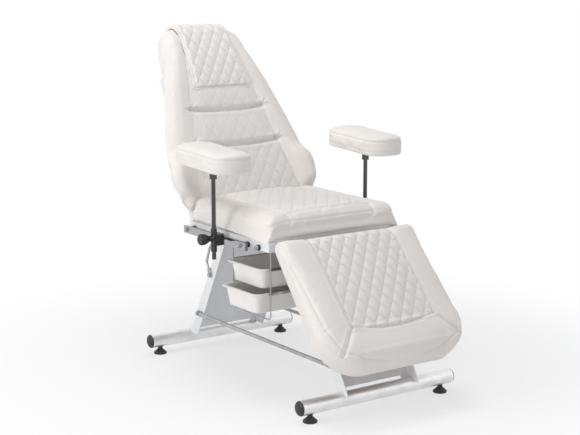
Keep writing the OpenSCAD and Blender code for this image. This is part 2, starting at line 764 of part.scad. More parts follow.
// Seat frame: rectangular tubes, hinge lugs, and a bracket for the back's spring
module tube_y(x, y) {
    block(x, y, [frame_low, seat_frame_z]);
}
module lug(x, y_face, y_pin, z_pin) {
    side_sheet(x) union() {
        translate([y_pin, z_pin]) circle(r = hinge_r, $fn = fine);
        translate([min(y_face, y_pin), z_pin - hinge_r])
            square([abs(y_pin - y_face), 2 * hinge_r]);
    }
}
function lug_pair(x) = let(g = hinge_t / 2 + lug_play)
    [[x - g - hinge_t, x - g], [x + g, x + g + hinge_t]];
module seat_frame() {
    w = frame_tube_wall;
    half = seat_frame_w / 2;
    cross = [[front_tube_y, front_tube_y + frame_tube_w],
        [-pedestal_tube_y - frame_tube_w / 2, -pedestal_tube_y + frame_tube_w / 2],
        [mid_tube_y - frame_tube_w / 2, mid_tube_y + frame_tube_w / 2],
        [pedestal_tube_y - frame_tube_w / 2, pedestal_tube_y + frame_tube_w / 2],
        [seat_frame_rear - frame_tube_w, seat_frame_rear]];
    color("white") difference() {
        union() {
            difference() {
                union() {
                    both_sides() tube_y([side_tube_x, half],
                        [-seat_frame_front, seat_frame_rear]);
                    for (c = cross) tube_y([-side_tube_x - w / 2, side_tube_x + w / 2], c);
                }
                both_sides() block([side_tube_x + w, half - w],
                    [-seat_frame_front + w, seat_frame_rear - w],
                    [frame_low + w, seat_frame_z - w]);
                for (c = cross) block([-side_tube_x + w, side_tube_x - w],
                    [c[0] + w, c[1] - w], [frame_low + w, seat_frame_z - w]);
            }
            both_sides() {
                for (x = lug_pair(back_arm_x))
                    lug(x, seat_frame_rear - w / 2, back_y, back_z);
                for (x = lug_pair(leg_arm_x))
                    lug(x, front_tube_y + w / 2, leg_y, leg_z);
            }
            for (x = lug_pair_spring) side_sheet(x) {
                translate([back_fix.y, back_fix.z]) circle(r = bracket_r, $fn = fine);
                translate([back_fix.y - bracket_r, back_fix.z])
                    square([2 * bracket_r, frame_low + w / 2 - back_fix.z]);
            }
        }
        both_sides() {
            pin_hole(back_arm_x, back_y, back_z);
            pin_hole(leg_arm_x, leg_y, leg_z);
            for (y = [-rail_front + rail_bolt_front, rail_rear - rail_bolt_rear,
                    -lone_bolt_y])
                x_rod([half - 2 * w, half + over], y, rail_z, bolt_hole_d);
            for (y = [-pedestal_tube_y, pedestal_tube_y])
                z_rod(plate_bolt_x, y, [frame_low - over, frame_low + 2 * w],
                    bolt_hole_d);
        }
        x_rod([lug_pair_spring[0][0] - over, lug_pair_spring[1][1] + over],
            back_fix.y, back_fix.z, spring_pin_d + 2 * run);
    }
}
spring_gap = spring_eye_t / 2 + eye_play;
lug_pair_spring = [[back_fix.x - spring_gap - bracket_t, back_fix.x - spring_gap],
    [back_fix.x + spring_gap, back_fix.x + spring_gap + bracket_t]];
module pin_hole(x, y, z) {
    reach = 1.5 * hinge_t + lug_play + over;
    x_rod([x - reach, x + reach], y, z, hinge_pin_d + 2 * run);
}
// A headed hinge pin with a washer on its inner end
module hinge_pin(x, y, z) {
    reach = 1.5 * hinge_t + lug_play;
    x_rod([x - reach, x + reach], y, z, hinge_pin_d);
    x_rod([x + reach, x + reach + pin_head_h], y, z, pin_head_d);
    x_rod([x - reach - pin_head_h, x - reach], y, z, pin_head_d);
}
module back_hinge_pins() {
    color([0.6, 0.61, 0.63]) both_sides() hinge_pin(back_arm_x, back_y, back_z);
}
module leg_hinge_pins() {
    color([0.6, 0.61, 0.63]) both_sides() hinge_pin(leg_arm_x, leg_y, leg_z);
}
module frame_bolts() {
    w = frame_tube_wall;
    color([0.6, 0.61, 0.63]) both_sides() for (y = [-pedestal_tube_y, pedestal_tube_y])
        translate([plate_bolt_x, y, plate_low]) {
            translate([0, 0, -bolt_head_h]) cylinder(h = bolt_head_h,
                d = bolt_head_d, $fn = 6);
            cylinder(h = sheet_t + w + nut_h, d = bolt_d, $fn = fine);
            translate([0, 0, sheet_t + w]) cylinder(h = nut_h, d = bolt_head_d, $fn = 6);
        }
}
seat_board_x = seat_half - board_in;
seat_board_y = [-seat_front + board_in, seat_rear - board_in];
module seat_board() {
    color([0.72, 0.6, 0.42]) block([-seat_board_x, seat_board_x], seat_board_y,
        [seat_frame_z, seat_frame_z + board_t]);
}
// The seat cushion: crowned, puffed at the wings, its rear leaning with the back
seat_shares = [0, 0.17, 0.34, 0.5, 0.66, 0.83, 1];
module seat_cushion() {
    low = seat_frame_z + near;
    long = seat_front + seat_rear;
    ends = end_shares * soft_edge;
    span = long - 2 * soft_edge;
    stations = concat([for (d = ends) [-seat_front + d, quarter(d, soft_edge)]],
        [for (i = [1:len(seat_shares) - 2])
            [-seat_front + soft_edge + span * seat_shares[i], 1]],
        [for (i = [len(ends) - 1:-1:0]) [seat_rear - ends[i],
            quarter(ends[i], soft_edge)]]);
    function half(y) = seat_half - draw_in * bow((y + seat_front) / long)
        - soft_edge * 0.5 * (1 - quarter(min(y + seat_front, seat_rear - y), soft_edge));
    function top(x, y, k) = low + seat_side_h
        + seat_crown * (1 - pow(x / seat_half, 2)) * (1 - 0.3 * pow(y / seat_front, 2))
        + puff * 0.6 * bow((abs(x) - seat_panel_half) / (seat_half - seat_panel_half));
    lean = 1 / tan(back_angle) * 0.6;
    rings = [for (s = stations) let(y = s[0], h = half(y),
            row = face_row(h * face_edge_share, seat_panel_half),
            sec = section(h, seat_panel_half, low,
                [for (p = row) top(p[0], y)], seam_depth, s[1]))
        [for (p = sec) [p[0],
            y + (p[1] - low) * lean * ease((y / seat_rear - 0.5) * 2), p[1]]]];
    color([0.95, 0.95, 0.94]) difference() {
        loft(rings);
        block([-seat_board_x - near, seat_board_x + near],
            [seat_board_y[0] - near, seat_board_y[1] + near],
            [seat_frame_z - over, seat_frame_z + board_t + near]);
    }
}

// Accessory rails with their bolts and spacers
rail_bolt_y = [-rail_front + rail_bolt_front, rail_rear - rail_bolt_rear];
module side_rail() {
    difference() {
        block([rail_x, rail_x + rail_t], [-rail_front, rail_rear],
            [rail_z - rail_h / 2, rail_z + rail_h / 2]);
        for (y = rail_bolt_y)
            x_rod([rail_x - over, rail_x + rail_t + over], y, rail_z, bolt_hole_d);
    }
}
module left_side_rail() { color([0.75, 0.76, 0.78]) mirror([1, 0, 0]) side_rail(); }
module right_side_rail() { color([0.75, 0.76, 0.78]) side_rail(); }
module rail_bolts() {
    wall = frame_tube_wall;
    color([0.55, 0.56, 0.58]) both_sides() {
        for (y = rail_bolt_y) {
            x_bolt(rail_x + rail_t, rail_t + rail_gap + wall + nut_h, y, rail_z, 1);
            x_nut(seat_frame_w / 2 - wall, y, rail_z, -1);
        }
        x_bolt(seat_frame_w / 2 + lone_washer_len, lone_washer_len + wall + nut_h,
            -lone_bolt_y, rail_z, 1);
        x_nut(seat_frame_w / 2 - wall, -lone_bolt_y, rail_z, -1);
    }
}
module spacer(x, y) {
    difference() {
        x_rod(x, y, rail_z, spacer_d);
        x_rod([x[0] - over, x[1] + over], y, rail_z, bolt_hole_d);
    }
}
module rail_spacers() {
    half = seat_frame_w / 2;
    color([0.1, 0.1, 0.11]) both_sides() {
        for (y = rail_bolt_y) spacer([half, rail_x], y);
        spacer([half, half + lone_washer_len], -lone_bolt_y);
    }
}

// Tray rack: two wire hoops with runner channels between them
module rack_hoop() {
    y = [-rack_front, -rack_front + rack_depth];
    top = frame_low - weld;
    bent_rod(rack_half, [[y[0], top], [y[0], rack_low_z], [y[1], rack_low_z], [y[1], top]],
        rack_bend, wire_d);
}
module left_rack_hoop() { color([0.45, 0.46, 0.48]) mirror([1, 0, 0]) rack_hoop(); }
module right_rack_hoop() { color([0.45, 0.46, 0.48]) rack_hoop(); }
module runner_pair(z) {
    end = rack_half + wire_d / 2;
    for (side = [0, 1]) {
        y = side ? runner_rear_y : runner_front_y;
        translate([0, y, z]) mirror([0, side, 0]) difference() {
            block([-end, end], [0, runner_w], [-runner_h / 2, runner_h / 2]);
            block([-end - over, end + over], [runner_t, runner_w + over],
                [-runner_h / 2 + runner_t, runner_h / 2 - runner_t]);
        }
    }
}
module upper_runners() { color([0.55, 0.56, 0.58]) runner_pair(upper_runner_z); }
module lower_runners() { color([0.55, 0.56, 0.58]) runner_pair(lower_runner_z); }

// Trays: tapered walls, rounded corners and a rolled rim that rides in the runners
module tray(x_out, z) {
    ly = tray_y1 - tray_y0;
    // Each step of the wall: inset from the rim's edge and height over its middle
    steps = [[rim_w + tray_taper + tray_wall, -tray_depth + rim_t / 2],
        [rim_w + tray_taper - tray_wall, -tray_depth + rim_t / 2 + tray_wall],
        [rim_w - tray_wall, -rim_t / 2], [tray_wall / 2, -rim_t / 2], [0, 0],
        [tray_wall / 2, rim_t / 2], [rim_w - tray_wall, rim_t / 2],
        [rim_w, rim_t / 2 - tray_wall / 2],
        [rim_w + tray_taper, -tray_depth + rim_t / 2 + 2 * tray_wall],
        [rim_w + tray_taper + 2 * tray_wall, -tray_depth + rim_t / 2 + tray_wall]];
    rings = [for (s = steps)
        [for (p = rounded(tray_len - 2 * s[0], ly - 2 * s[0],
                max(tray_corner - s[0] * 0.4, tray_corner / 3)))
            [-x_out + tray_len / 2 + p[0], (tray_y0 + tray_y1) / 2 + p[1], z + s[1]]]];
    color([0.94, 0.94, 0.92]) loft(rings);
}
module upper_tray() { tray(upper_tray_out, upper_runner_z); }
module lower_tray() { tray(lower_tray_out, lower_runner_z); }

// The back: X across, Y up along the back, Z out of its face
module in_back() {
    translate([0, back_y, back_z]) rotate([back_angle, 0, 0]) children();
}
module back_frame() {
    t = back_frame_t;
    z1 = -back_rear;
    z0 = -back_rear - t;
    color("white") in_back() difference() {
        union() {
            both_sides() {
                side_sheet([back_arm_x - hinge_t / 2, back_arm_x + hinge_t / 2]) union() {
                    circle(r = hinge_r, $fn = fine);
                    translate([-hinge_r, z0]) square([2 * hinge_r, -z0]);
                    translate([-hinge_r, z0]) square([4 * hinge_r + t, t]);
                }
                block([back_board_half - t - t, back_board_half - t],
                    [back_low + back_board_low, back_post_top], [z0, z1]);
            }
            for (y = [back_low + back_board_low, (back_low + back_post_top) / 2,
                    back_post_top - t])
                block([-back_board_half + t, back_board_half - t], [y, y + t], [z0, z1]);
            block([-back_arm_x, back_arm_x],
                [back_low + back_board_low, back_low + back_board_low + t], [z0, z1]);
            side_sheet([back_arm_x - hinge_t / 2, back_arm_x + hinge_t / 2]) union() {
                translate([-back_lever_low, -back_lever_behind])
                    circle(r = lever_r, $fn = fine);
                translate([-back_lever_low, -back_lever_behind - lever_r])
                    square([back_lever_low, 2 * lever_r - hinge_t]);
            }
        }
        both_sides() x_rod([back_arm_x - hinge_t, back_arm_x + hinge_t], 0, 0,
            hinge_pin_d + 2 * run);
        x_rod([back_arm_x - hinge_t, back_arm_x + hinge_t],
            -back_lever_low, -back_lever_behind, open_hole_d);
    }
}
back_board_y = [back_low + back_board_low, back_low + back_board_low + back_board_h];
module back_board() {
    color([0.72, 0.6, 0.42]) in_back()
        block([-back_board_half, back_board_half], back_board_y,
            [-back_rear, -back_rear + board_t]);
}
// Outline and face of the back cushion at a height above the hinge
back_top_share = 0.82;
function back_half(y) =
    y < back_wide_at
        ? lerp(back_half_low, back_half_max,
            sin(90 * (y - back_low) / (back_wide_at - back_low)))
    : y < back_round_at
        ? lerp(back_half_max, back_half_top,
            0.7 * (y - back_wide_at) / (back_round_at - back_wide_at)
            + 0.3 * ease((y - back_wide_at) / (back_round_at - back_wide_at)))
    : let(k = (y - back_round_at) * back_top_share / (back_high - back_round_at))
        back_half_top * pow(1 - pow(k, 1.6), 0.6);
function back_panel(y) = lerp(back_panel_low, back_panel_top,
    limit((y - back_low) / (back_round_at - back_low)));
function groove(y, at, w) = let(k = abs(y - at) / w) k >= 1 ? 0 : pow(1 - k, 1.5);
function back_top(x, y) = let(p = min(back_panel(y), back_half(y) * 0.8),
        k = limit((abs(x) - p) / (back_half(y) - p)))
    back_face - edge_drop * k * k + puff * bow(k) * ease((y - back_low) / back_low / 2)
        * ease((back_high - y) / (back_high - back_round_at) * 1.2)
    + wing_bulge * ease(k * 1.4) * ease((y - 2 * back_low) / back_low / 1.6)
        * ease((channel_low - y) / back_low / 2.6)
    - channel_depth * (1 - ease((abs(x) - p) / seam_w / 3))
        * (groove(y, channel_low, channel_w) + groove(y, channel_high, channel_w));
back_low_shares = [0.12, 0.24, 0.36, 0.5, 0.64, 0.78, 0.9];
back_cap_shares = [1, 0.72, 0.48, 0.28, 0.13, 0.04];
channel_shares = [-1, -0.4, 0, 0.4, 1];
back_high_shares = [0.25, 0.5, 0.75];
module back_cushion() {
    rear = -back_rear + near;
    ends = end_shares * soft_edge;
    cap = (back_face + back_rear) / 2;
    low_span = channel_low - channel_w - back_low - soft_edge;
    stations = concat([for (d = ends) [back_low + d, quarter(d, soft_edge)]],
        [for (k = back_low_shares) [back_low + soft_edge + low_span * k, 1]],
        [for (c = [channel_low, channel_high]) each [for (k = channel_shares)
            [c + k * channel_w, 1]]],
        [for (k = back_high_shares)
            [lerp(channel_high + channel_w, back_high - cap, k), 1]],
        [for (k = back_cap_shares) [back_high - cap * k, quarter(k * cap, cap)]]);
    sorted = concat(
        [for (s = stations) if (s[0] < channel_low + channel_w + over) s],
        [[(channel_low + channel_high) / 2, 1]],
        [for (s = stations) if (s[0] > channel_low + channel_w + over) s]);
    rings = [for (s = sorted) let(y = s[0], h = back_half(y),
            p = min(back_panel(y), h * 0.8),
            row = face_row(h * face_edge_share, p),
            sec = section(h, p, rear, [for (q = row) back_top(q[0], y)],
                seam_depth, 1),
            mid = (back_face - back_rear) / 2)
        [for (q = sec) [q[0], y, lerp(mid, q[1], s[1])]]];
    color([0.95, 0.95, 0.94]) in_back() difference() {
        loft(rings);
        block([-back_board_half - near, back_board_half + near],
            [back_board_y[0] - near, back_board_y[1] + near],
            [-back_rear - over, -back_rear + board_t + near]);
        for (side = [-1, 1]) translate([side * back_arm_x, 0, 0])
            block([-hinge_t / 2 - near, hinge_t / 2 + near],
                [back_low - over, 3 * hinge_r + back_frame_t + near],
                [-back_rear - over, -back_rear + near]);
    }
}
// The head pad drapes over the rounded top of the back
head_front_shares = [0, 0.04, 0.12, 0.35, 0.6, 0.85];
head_rear_shares = [0.5, 0.9, 1];
head_row_shares = [-1, -0.97, -0.88, -0.6, -0.3, 0, 0.3, 0.6, 0.88, 0.97, 1];
head_under_shares = [0.91, 0.78, 0.4, 0, -0.4, -0.78, -0.91];
module head_pad() {
    cap = (back_face + back_rear) / 2;
    mid = (back_face - back_rear) / 2;
    straight = back_high - cap - head_low;
    turns = [for (k = back_cap_shares) asin(1 - k)];
    over_top = concat(turns, [90], [for (i = [len(turns) - 1:-1:0]) 180 - turns[i]]);
    // Stations along the path: place, outward direction, half width, thickness
    path = concat(
        [for (k = head_front_shares)
            [[head_low + straight * k, back_face], [0, 1],
                lerp(head_half_low, head_half_top, k),
                head_t * (0.35 + 0.65 * quarter(k, 0.12))]],
        [for (a = over_top)
            [[back_high - cap + cap * sin(a), mid + cap * cos(a)], [sin(a), cos(a)],
                head_half_top, head_t * (1 - 0.35 * a / 180)]],
        [for (k = head_rear_shares)
            [[back_high - cap - (head_rear_len - cap) * k, -back_rear], [0, -1],
                head_half_top, head_t * (0.65 - 0.3 * k * k)]]);
    // The wings puff up beside the panel, and the pad lies over them
    function seat_at(x, s) = near + max(0, back_top(x, s[0][0]) - back_face)
        * max(0, s[1][1]);
    rings = [for (s = path) concat(
        [for (k = head_row_shares) let(n = seat_at(k * s[2], s) + (s[3] - near)
                * (0.25 + 0.75 * quarter((1 - abs(k)) * s[2], head_t)))
            [k * s[2], s[0][0] + s[1][0] * n, s[0][1] + s[1][1] * n]],
        [for (k = head_under_shares) let(n = seat_at(k * s[2], s))
            [k * s[2], s[0][0] + s[1][0] * n, s[0][1] + s[1][1] * n]])];
    color([0.96, 0.96, 0.95]) in_back() loft(rings);
}

// The leg rest: X across, Y up towards its hinge, Z out of its face
module in_leg() {
    translate([0, leg_y, leg_z]) rotate([leg_drop, 0, 0]) children();
}
leg_bar_t = 20;        // depth of the leg rest's bars
leg_cross_1 = 150;     // places of the cross bars from the hinge
leg_arm_len = 440;     // length of the arms
leg_cross_in = 40;     // the lower cross bar from the arms' ends
leg_cross_2 = leg_arm_len - leg_cross_in;
leg_board_out = 3;     // how far the leg board runs past the arms
leg_board_half = leg_arm_x + hinge_t / 2 + leg_board_out;
leg_board_low = 30;    // how far that board stops short of the ends
module leg_frame() {
    z1 = leg_rear;
    z0 = leg_rear - leg_bar_t;
    x = [leg_arm_x - hinge_t / 2, leg_arm_x + hinge_t / 2];
    color("white") in_leg() difference() {
        union() {
            both_sides() side_sheet(x) union() {
                circle(r = hinge_r, $fn = fine);
                translate([-leg_arm_len, z0]) square([leg_arm_len, leg_bar_t]);
            }
            for (y = [leg_cross_1, leg_cross_2])
                block([-leg_arm_x, leg_arm_x], [-y - leg_bar_t / 2, -y + leg_bar_t / 2],
                    [z0, z1]);
            side_sheet(x) union() {
                translate([-leg_lever_down, -leg_lever_behind])
                    circle(r = lever_r, $fn = fine);
                translate([-leg_lever_down - lever_r, -leg_lever_behind])
                    square([2 * lever_r, leg_lever_behind + z0 + over]);
            }
        }
        both_sides() x_rod([leg_arm_x - hinge_t, leg_arm_x + hinge_t], 0, 0,
            hinge_pin_d + 2 * run);
        x_rod([leg_arm_x - hinge_t, leg_arm_x + hinge_t],
            -leg_lever_down, -leg_lever_behind, open_hole_d);
    }
}
leg_board_y = [-leg_end + leg_board_low, -leg_start - leg_board_low];
module leg_board() {
    color([0.72, 0.6, 0.42]) in_leg() block([-leg_board_half, leg_board_half],
        leg_board_y, [leg_rear, leg_rear + board_t]);
}
function leg_half(s) = s < leg_end - leg_corner
    ? lerp(leg_half_high, leg_half_low, s / (leg_end - leg_corner))
    : leg_half_low - leg_corner
        + sqrt(max(0, leg_corner * leg_corner - pow(s - leg_end + leg_corner, 2)));
bolster_seam_in = 28;  // the seam below the foot bolster, from the lower end
bolster_seam = leg_end - bolster_seam_in;
function leg_top(x, s) = let(h = leg_half(s), k = limit((abs(x) - leg_panel_half)
        / (h - leg_panel_half)), share = s / leg_end)
    leg_rear + lerp(leg_thick_high, leg_thick_low, share)
    + leg_crown * (1 - pow(x / h, 2)) * (0.35 + 0.65 * bow(share * 0.9 + 0.05))
    + puff * 0.5 * bow(k)
    - seam_depth * 1.6 * groove(s, bolster_at, channel_w)
        * (1 - ease((abs(x) - leg_panel_half) / seam_w / 8))
    - seam_depth * groove(s, bolster_seam, channel_w);
leg_shares = [0.14, 0.3, 0.46, 0.62, 0.78, 0.92];
bolster_shares = [0.3, 0.6, 0.85];
leg_seam_shares = [-0.5, 0, 0.45];
module leg_cushion() {
    rear = leg_rear + near;
    ends = end_shares * soft_edge;
    span = bolster_at - channel_w - leg_start - soft_edge;
    stations = concat([for (d = ends) [leg_start + d, quarter(d, soft_edge)]],
        [for (k = leg_shares) [leg_start + soft_edge + span * k, 1]],
        [for (k = channel_shares) [bolster_at + k * channel_w, 1]],
        [for (k = bolster_shares) [lerp(bolster_at, bolster_seam, k), 1]],
        [for (k = leg_seam_shares) [bolster_seam + k * channel_w, 1]],
        [for (i = [len(ends) - 2:-1:0]) [leg_end - ends[i],
            quarter(ends[i], soft_edge)]]);
    rings = [for (st = stations) let(s = st[0], h = leg_half(s),
            p = min(leg_panel_half, h * 0.8),
            row = face_row(h * face_edge_share, p),
            sec = section(h, p, rear, [for (q = row) leg_top(q[0], s)],
                seam_depth * (s < bolster_at ? 1 : 0), st[1]))
        [for (q = sec) [q[0], -s, q[1]]]];
    color([0.95, 0.95, 0.94]) in_leg() difference() {
        loft([for (i = [len(rings) - 1:-1:0]) rings[i]]);
        block([-leg_board_half - near, leg_board_half + near],
            [leg_board_y[0] - near, leg_board_y[1] + near],
            [leg_rear - over, leg_rear + board_t + near]);
    }
}

// Gas springs: the cylinder lies along Z from its pivot, which is along X
module along(a, b) {
    v = b - a;
    translate(a) rotate([-atan2(v.y, v.z), 0, 0]) children();
}
module spring_cylinder(long) {
    difference() {
        union() {
            translate([0, 0, spring_end]) cylinder(h = long, d = spring_d, $fn = fine);
            x_rod([-spring_eye_t / 2, spring_eye_t / 2], 0, 0, 2 * eye_r);
            block([-spring_eye_t / 2, spring_eye_t / 2], [-eye_r * 0.6, eye_r * 0.6],
                [0, spring_end + over]);
            translate([0, 0, spring_end + long])
                cylinder(h = gland_t, d = gland_d, $fn = fine);
        }
        x_rod([-spring_eye_t, spring_eye_t], 0, 0, spring_pin_d + 2 * run);
        translate([0, 0, spring_end + spring_blind])
            cylinder(h = long + gland_t, d = spring_rod_d + 2 * run, $fn = fine);
    }
}
// The rod, its eye and the pin through the lever's open hole
module spring_rod(total, long) {
    from = spring_end + long - spring_inside;
    outer = spring_eye_t / 2 + eye_play + hinge_t + eye_play;
    translate([0, 0, from]) cylinder(h = total - eye_r * 0.8 - from, d = spring_rod_d,
        $fn = fine);
    x_rod([-spring_eye_t / 2, spring_eye_t / 2], 0, total, 2 * eye_r);
    x_rod([0, outer + pin_cap_t], 0, total, spring_pin_d);
    x_rod([outer, outer + pin_cap_t], 0, total, pin_cap_d);
}
module back_spring_cylinder() {
    color([0.2, 0.2, 0.21]) along(back_fix, back_move) spring_cylinder(back_cylinder_len);
}
module back_spring_rod() {
    color([0.7, 0.71, 0.73]) along(back_fix, back_move)
        spring_rod(norm(back_move - back_fix), back_cylinder_len);
}
module leg_spring_cylinder() {
    color([0.2, 0.2, 0.21]) along(leg_fix, leg_move) spring_cylinder(leg_cylinder_len);
}
module leg_spring_rod() {
    color([0.7, 0.71, 0.73]) along(leg_fix, leg_move)
        spring_rod(norm(leg_move - leg_fix), leg_cylinder_len);
}
module spring_pins() {
    out = leg_fix.x + spring_eye_t / 2 + eye_play;
    face = pedestal_w / 2;
    color([0.6, 0.61, 0.63]) {
        x_rod([lug_pair_spring[0][0] - pin_cap_t, lug_pair_spring[1][1]], back_fix.y,
            back_fix.z, spring_pin_d);
        for (x = [lug_pair_spring[0][0] - pin_cap_t, lug_pair_spring[1][1]])
            x_rod([x, x + pin_cap_t], back_fix.y, back_fix.z, pin_head_d);
        x_rod([face - sheet_t - pin_cap_t, out + pin_cap_t], leg_fix.y, leg_fix.z,
            spring_pin_d);
        x_rod([face, leg_fix.x - spring_eye_t / 2 - eye_play], leg_fix.y, leg_fix.z,
            pin_head_d - eye_play);
        x_rod([face - sheet_t - pin_cap_t, face - sheet_t], leg_fix.y, leg_fix.z,
            pin_head_d - eye_play);
        x_rod([out, out + pin_cap_t], leg_fix.y, leg_fix.z, pin_head_d - eye_play);
    }
}

// Arm rests. Each is drawn for the right side with its post axis at [0, 0]
sleeve_z = [rail_z - sleeve_drop, rail_z + sleeve_rise];
boss_d = knob_screw_d + 2 * jaw_wall;
module clamp(side) {
    x0 = rail_x - post_x; // inner face of the rail, from the post
    x1 = x0 + rail_t;
    z0 = rail_z - rail_h / 2 - slide_play;
    z1 = rail_z + rail_h / 2 + slide_play;
    reach = post_d / 2 + knob_out - knob_gap - post_d / 2;
    translate([side * post_x, post_y, 0]) mirror([side < 0 ? 1 : 0, 0, 0])
        difference() {
            union() {
                z_rod(0, 0, sleeve_z, sleeve_d);
                block([x0 - slide_play - lip_t, 0], [-jaw_len / 2, jaw_len / 2],
                    [z0 - jaw_wall, z1 + jaw_wall]);
                x_rod([0, reach], 0, knob_z, boss_d);
            }
            z_rod(0, 0, [sleeve_z[0] - over, sleeve_z[1] + over], post_d + 2 * run);
            block([x0 - slide_play, x1 + slide_play], [-jaw_len, jaw_len], [z0, z1]);
            block([x0 - 2 * lip_t - slide_play, x0], [-jaw_len, jaw_len],
                [z0 + lip_h, z1 - lip_h]);
            x_rod([0, knob_out + over], 0, knob_z, knob_screw_d + 2 * run);
        }
}
knob_z = rail_z + lip_h;
knob_gap = 5;          // bare screw between the clamp and the knob
grip_d = 9;            // diameter of the hollows round the knob
module clamp_knob(side) {
    translate([side * post_x, post_y, knob_z]) rotate([0, 90 * side, 0]) {
        difference() {
            translate([0, 0, knob_out]) rotate_extrude($fn = fine) polygon([[0, 0],
                [knob_d / 2 - grip_d / 2, 0], [knob_d / 2 - grip_d / 4, knob_gap],
                [knob_d / 2, knob_t * 0.4], [knob_d / 2, knob_t - knob_gap / 2],
                [knob_d / 2 - knob_gap / 2, knob_t], [0, knob_t]]);
            for (i = [0:knob_grips - 1]) rotate([0, 0, 360 * i / knob_grips])
                translate([knob_d / 2 + grip_d / 4, 0, knob_out - over])
                    cylinder(h = knob_t + 2 * over, d = grip_d, $fn = 32);
        }
        translate([0, 0, post_d / 2 + near]) cylinder(d = knob_screw_d, $fn = fine,
            h = knob_out - post_d / 2 - near + over);
    }
}
module post(side, lift) {
    color([0.4, 0.4, 0.42]) z_rod(side * post_x, post_y,
        [post_low_z + lift, arm_pad_z + lift - pad_plate_t - near], post_d);
}
// Socket and plate under an arm pad
module pad_plate(side, lift, turn) {
    top = arm_pad_z + lift;
    ring = post_d + 2 * run;
    translate([side * post_x, post_y, 0]) rotate([0, 0, -turn]) difference() {
        union() {
            translate([arm_pad_shift, (arm_pad_rear - arm_pad_front) / 2 * 0.4,
                top - pad_plate_t / 2])
                cube([pad_plate_w + 2 * post_d, pad_plate_len, pad_plate_t], center = true);
            z_rod(0, 0, [top - pad_plate_t - pad_hub_len, top - pad_plate_t / 2],
                ring + 2 * pad_hub_wall);
        }
        z_rod(0, 0, [top - pad_plate_t - pad_hub_len - over, top - pad_plate_t], ring);
    }
}
// Arm pad: stations along its length, and its section from side to side
arm_end_angles = [4, 15, 30, 48, 68];
arm_length_shares = [0, 0.25, 0.5, 0.75, 1];
arm_row_shares = [-0.9, -0.6, -0.3, 0, 0.3, 0.6, 0.9];
arm_side_shares = [[0.97, 0.93], [1, 0.75], [0.985, 0.45], [0.99, 0.16], [0.96, 0]];
module arm_pad(side, lift, turn) {
    low = arm_pad_z + lift + near;
    long = arm_pad_front + arm_pad_rear;
    nose = arm_pad_nose * 0.9;
    tail = arm_pad_half * 0.9;
    function ends(y) = y < nose - arm_pad_front
        ? sqrt(max(0, 1 - pow((nose - arm_pad_front - y) / nose, 2.6)))
        : y > arm_pad_rear - tail
            ? sqrt(max(0, 1 - pow((y - arm_pad_rear + tail) / tail, 2.6))) : 1;
    function half(y) = lerp(arm_pad_nose, arm_pad_half, (y + arm_pad_front) / long)
        * ends(y) - draw_in * 0.8 * bow((y + arm_pad_front) / long);
    last = len(arm_end_angles) - 1;
    places = concat([for (a = arm_end_angles) -arm_pad_front + nose * (1 - cos(a))],
        [for (k = arm_length_shares) lerp(nose - arm_pad_front, arm_pad_rear - tail, k)],
        [for (i = [last:-1:0]) arm_pad_rear - tail * (1 - cos(arm_end_angles[i]))]);
    rings = [for (y = places) let(h = half(y), e = limit(ends(y) * 1.1),
            side = [for (s = arm_side_shares) [s[0] * h, y, low + arm_pad_h * s[1]]])
        concat([for (k = arm_row_shares) [k * h, y,
                low + arm_pad_h + arm_pad_crown * (1 - k * k) * e]],
            side, [for (i = [len(side) - 1:-1:0]) [-side[i].x, y, side[i].z]])];
    color([0.95, 0.95, 0.94]) translate([side * post_x, post_y, 0]) rotate([0, 0, -turn])
        translate([arm_pad_shift, 0, 0]) loft(rings);
}
module left_clamp() { color([0.12, 0.12, 0.13]) clamp(-1); }
module right_clamp() { color([0.12, 0.12, 0.13]) clamp(1); }
module left_clamp_knob() { color([0.08, 0.08, 0.09]) clamp_knob(-1); }
module right_clamp_knob() { color([0.08, 0.08, 0.09]) clamp_knob(1); }
module left_post() { post(-1, 0); }
module right_post() { post(1, right_arm_lift); }
module left_pad_plate() { color("white") pad_plate(-1, 0, left_pad_turn); }
module right_pad_plate() {
    color("white") pad_plate(1, right_arm_lift, right_pad_turn);
}
module left_arm_pad() { arm_pad(-1, 0, left_pad_turn); }
module right_arm_pad() { arm_pad(1, right_arm_lift, right_pad_turn); }

rear_foot_tube();
front_foot_tube();
tube_end_plugs();
rear_left_foot();
rear_right_foot();
front_left_foot();
front_right_foot();
rear_pedestal();
front_pedestal();
left_tie_bar();
right_tie_bar();
left_bent_stay();
right_bent_stay();
pedestal_bolts();
seat_frame();
frame_bolts();
seat_board();
seat_cushion();
left_side_rail();
right_side_rail();
rail_bolts();
rail_spacers();
left_rack_hoop();
right_rack_hoop();
upper_runners();
lower_runners();
upper_tray();
lower_tray();
back_frame();
back_board();
back_cushion();
head_pad();
back_hinge_pins();
leg_frame();
leg_board();
leg_cushion();
leg_hinge_pins();
back_spring_cylinder();
back_spring_rod();
leg_spring_cylinder();
leg_spring_rod();
spring_pins();
left_clamp();
left_clamp_knob();
left_post();
left_pad_plate();
left_arm_pad();
right_clamp();
right_clamp_knob();
right_post();
right_pad_plate();
right_arm_pad();
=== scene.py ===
import json
import math
import bmesh
import bpy
import numpy as np
from mathutils import Matrix, Vector


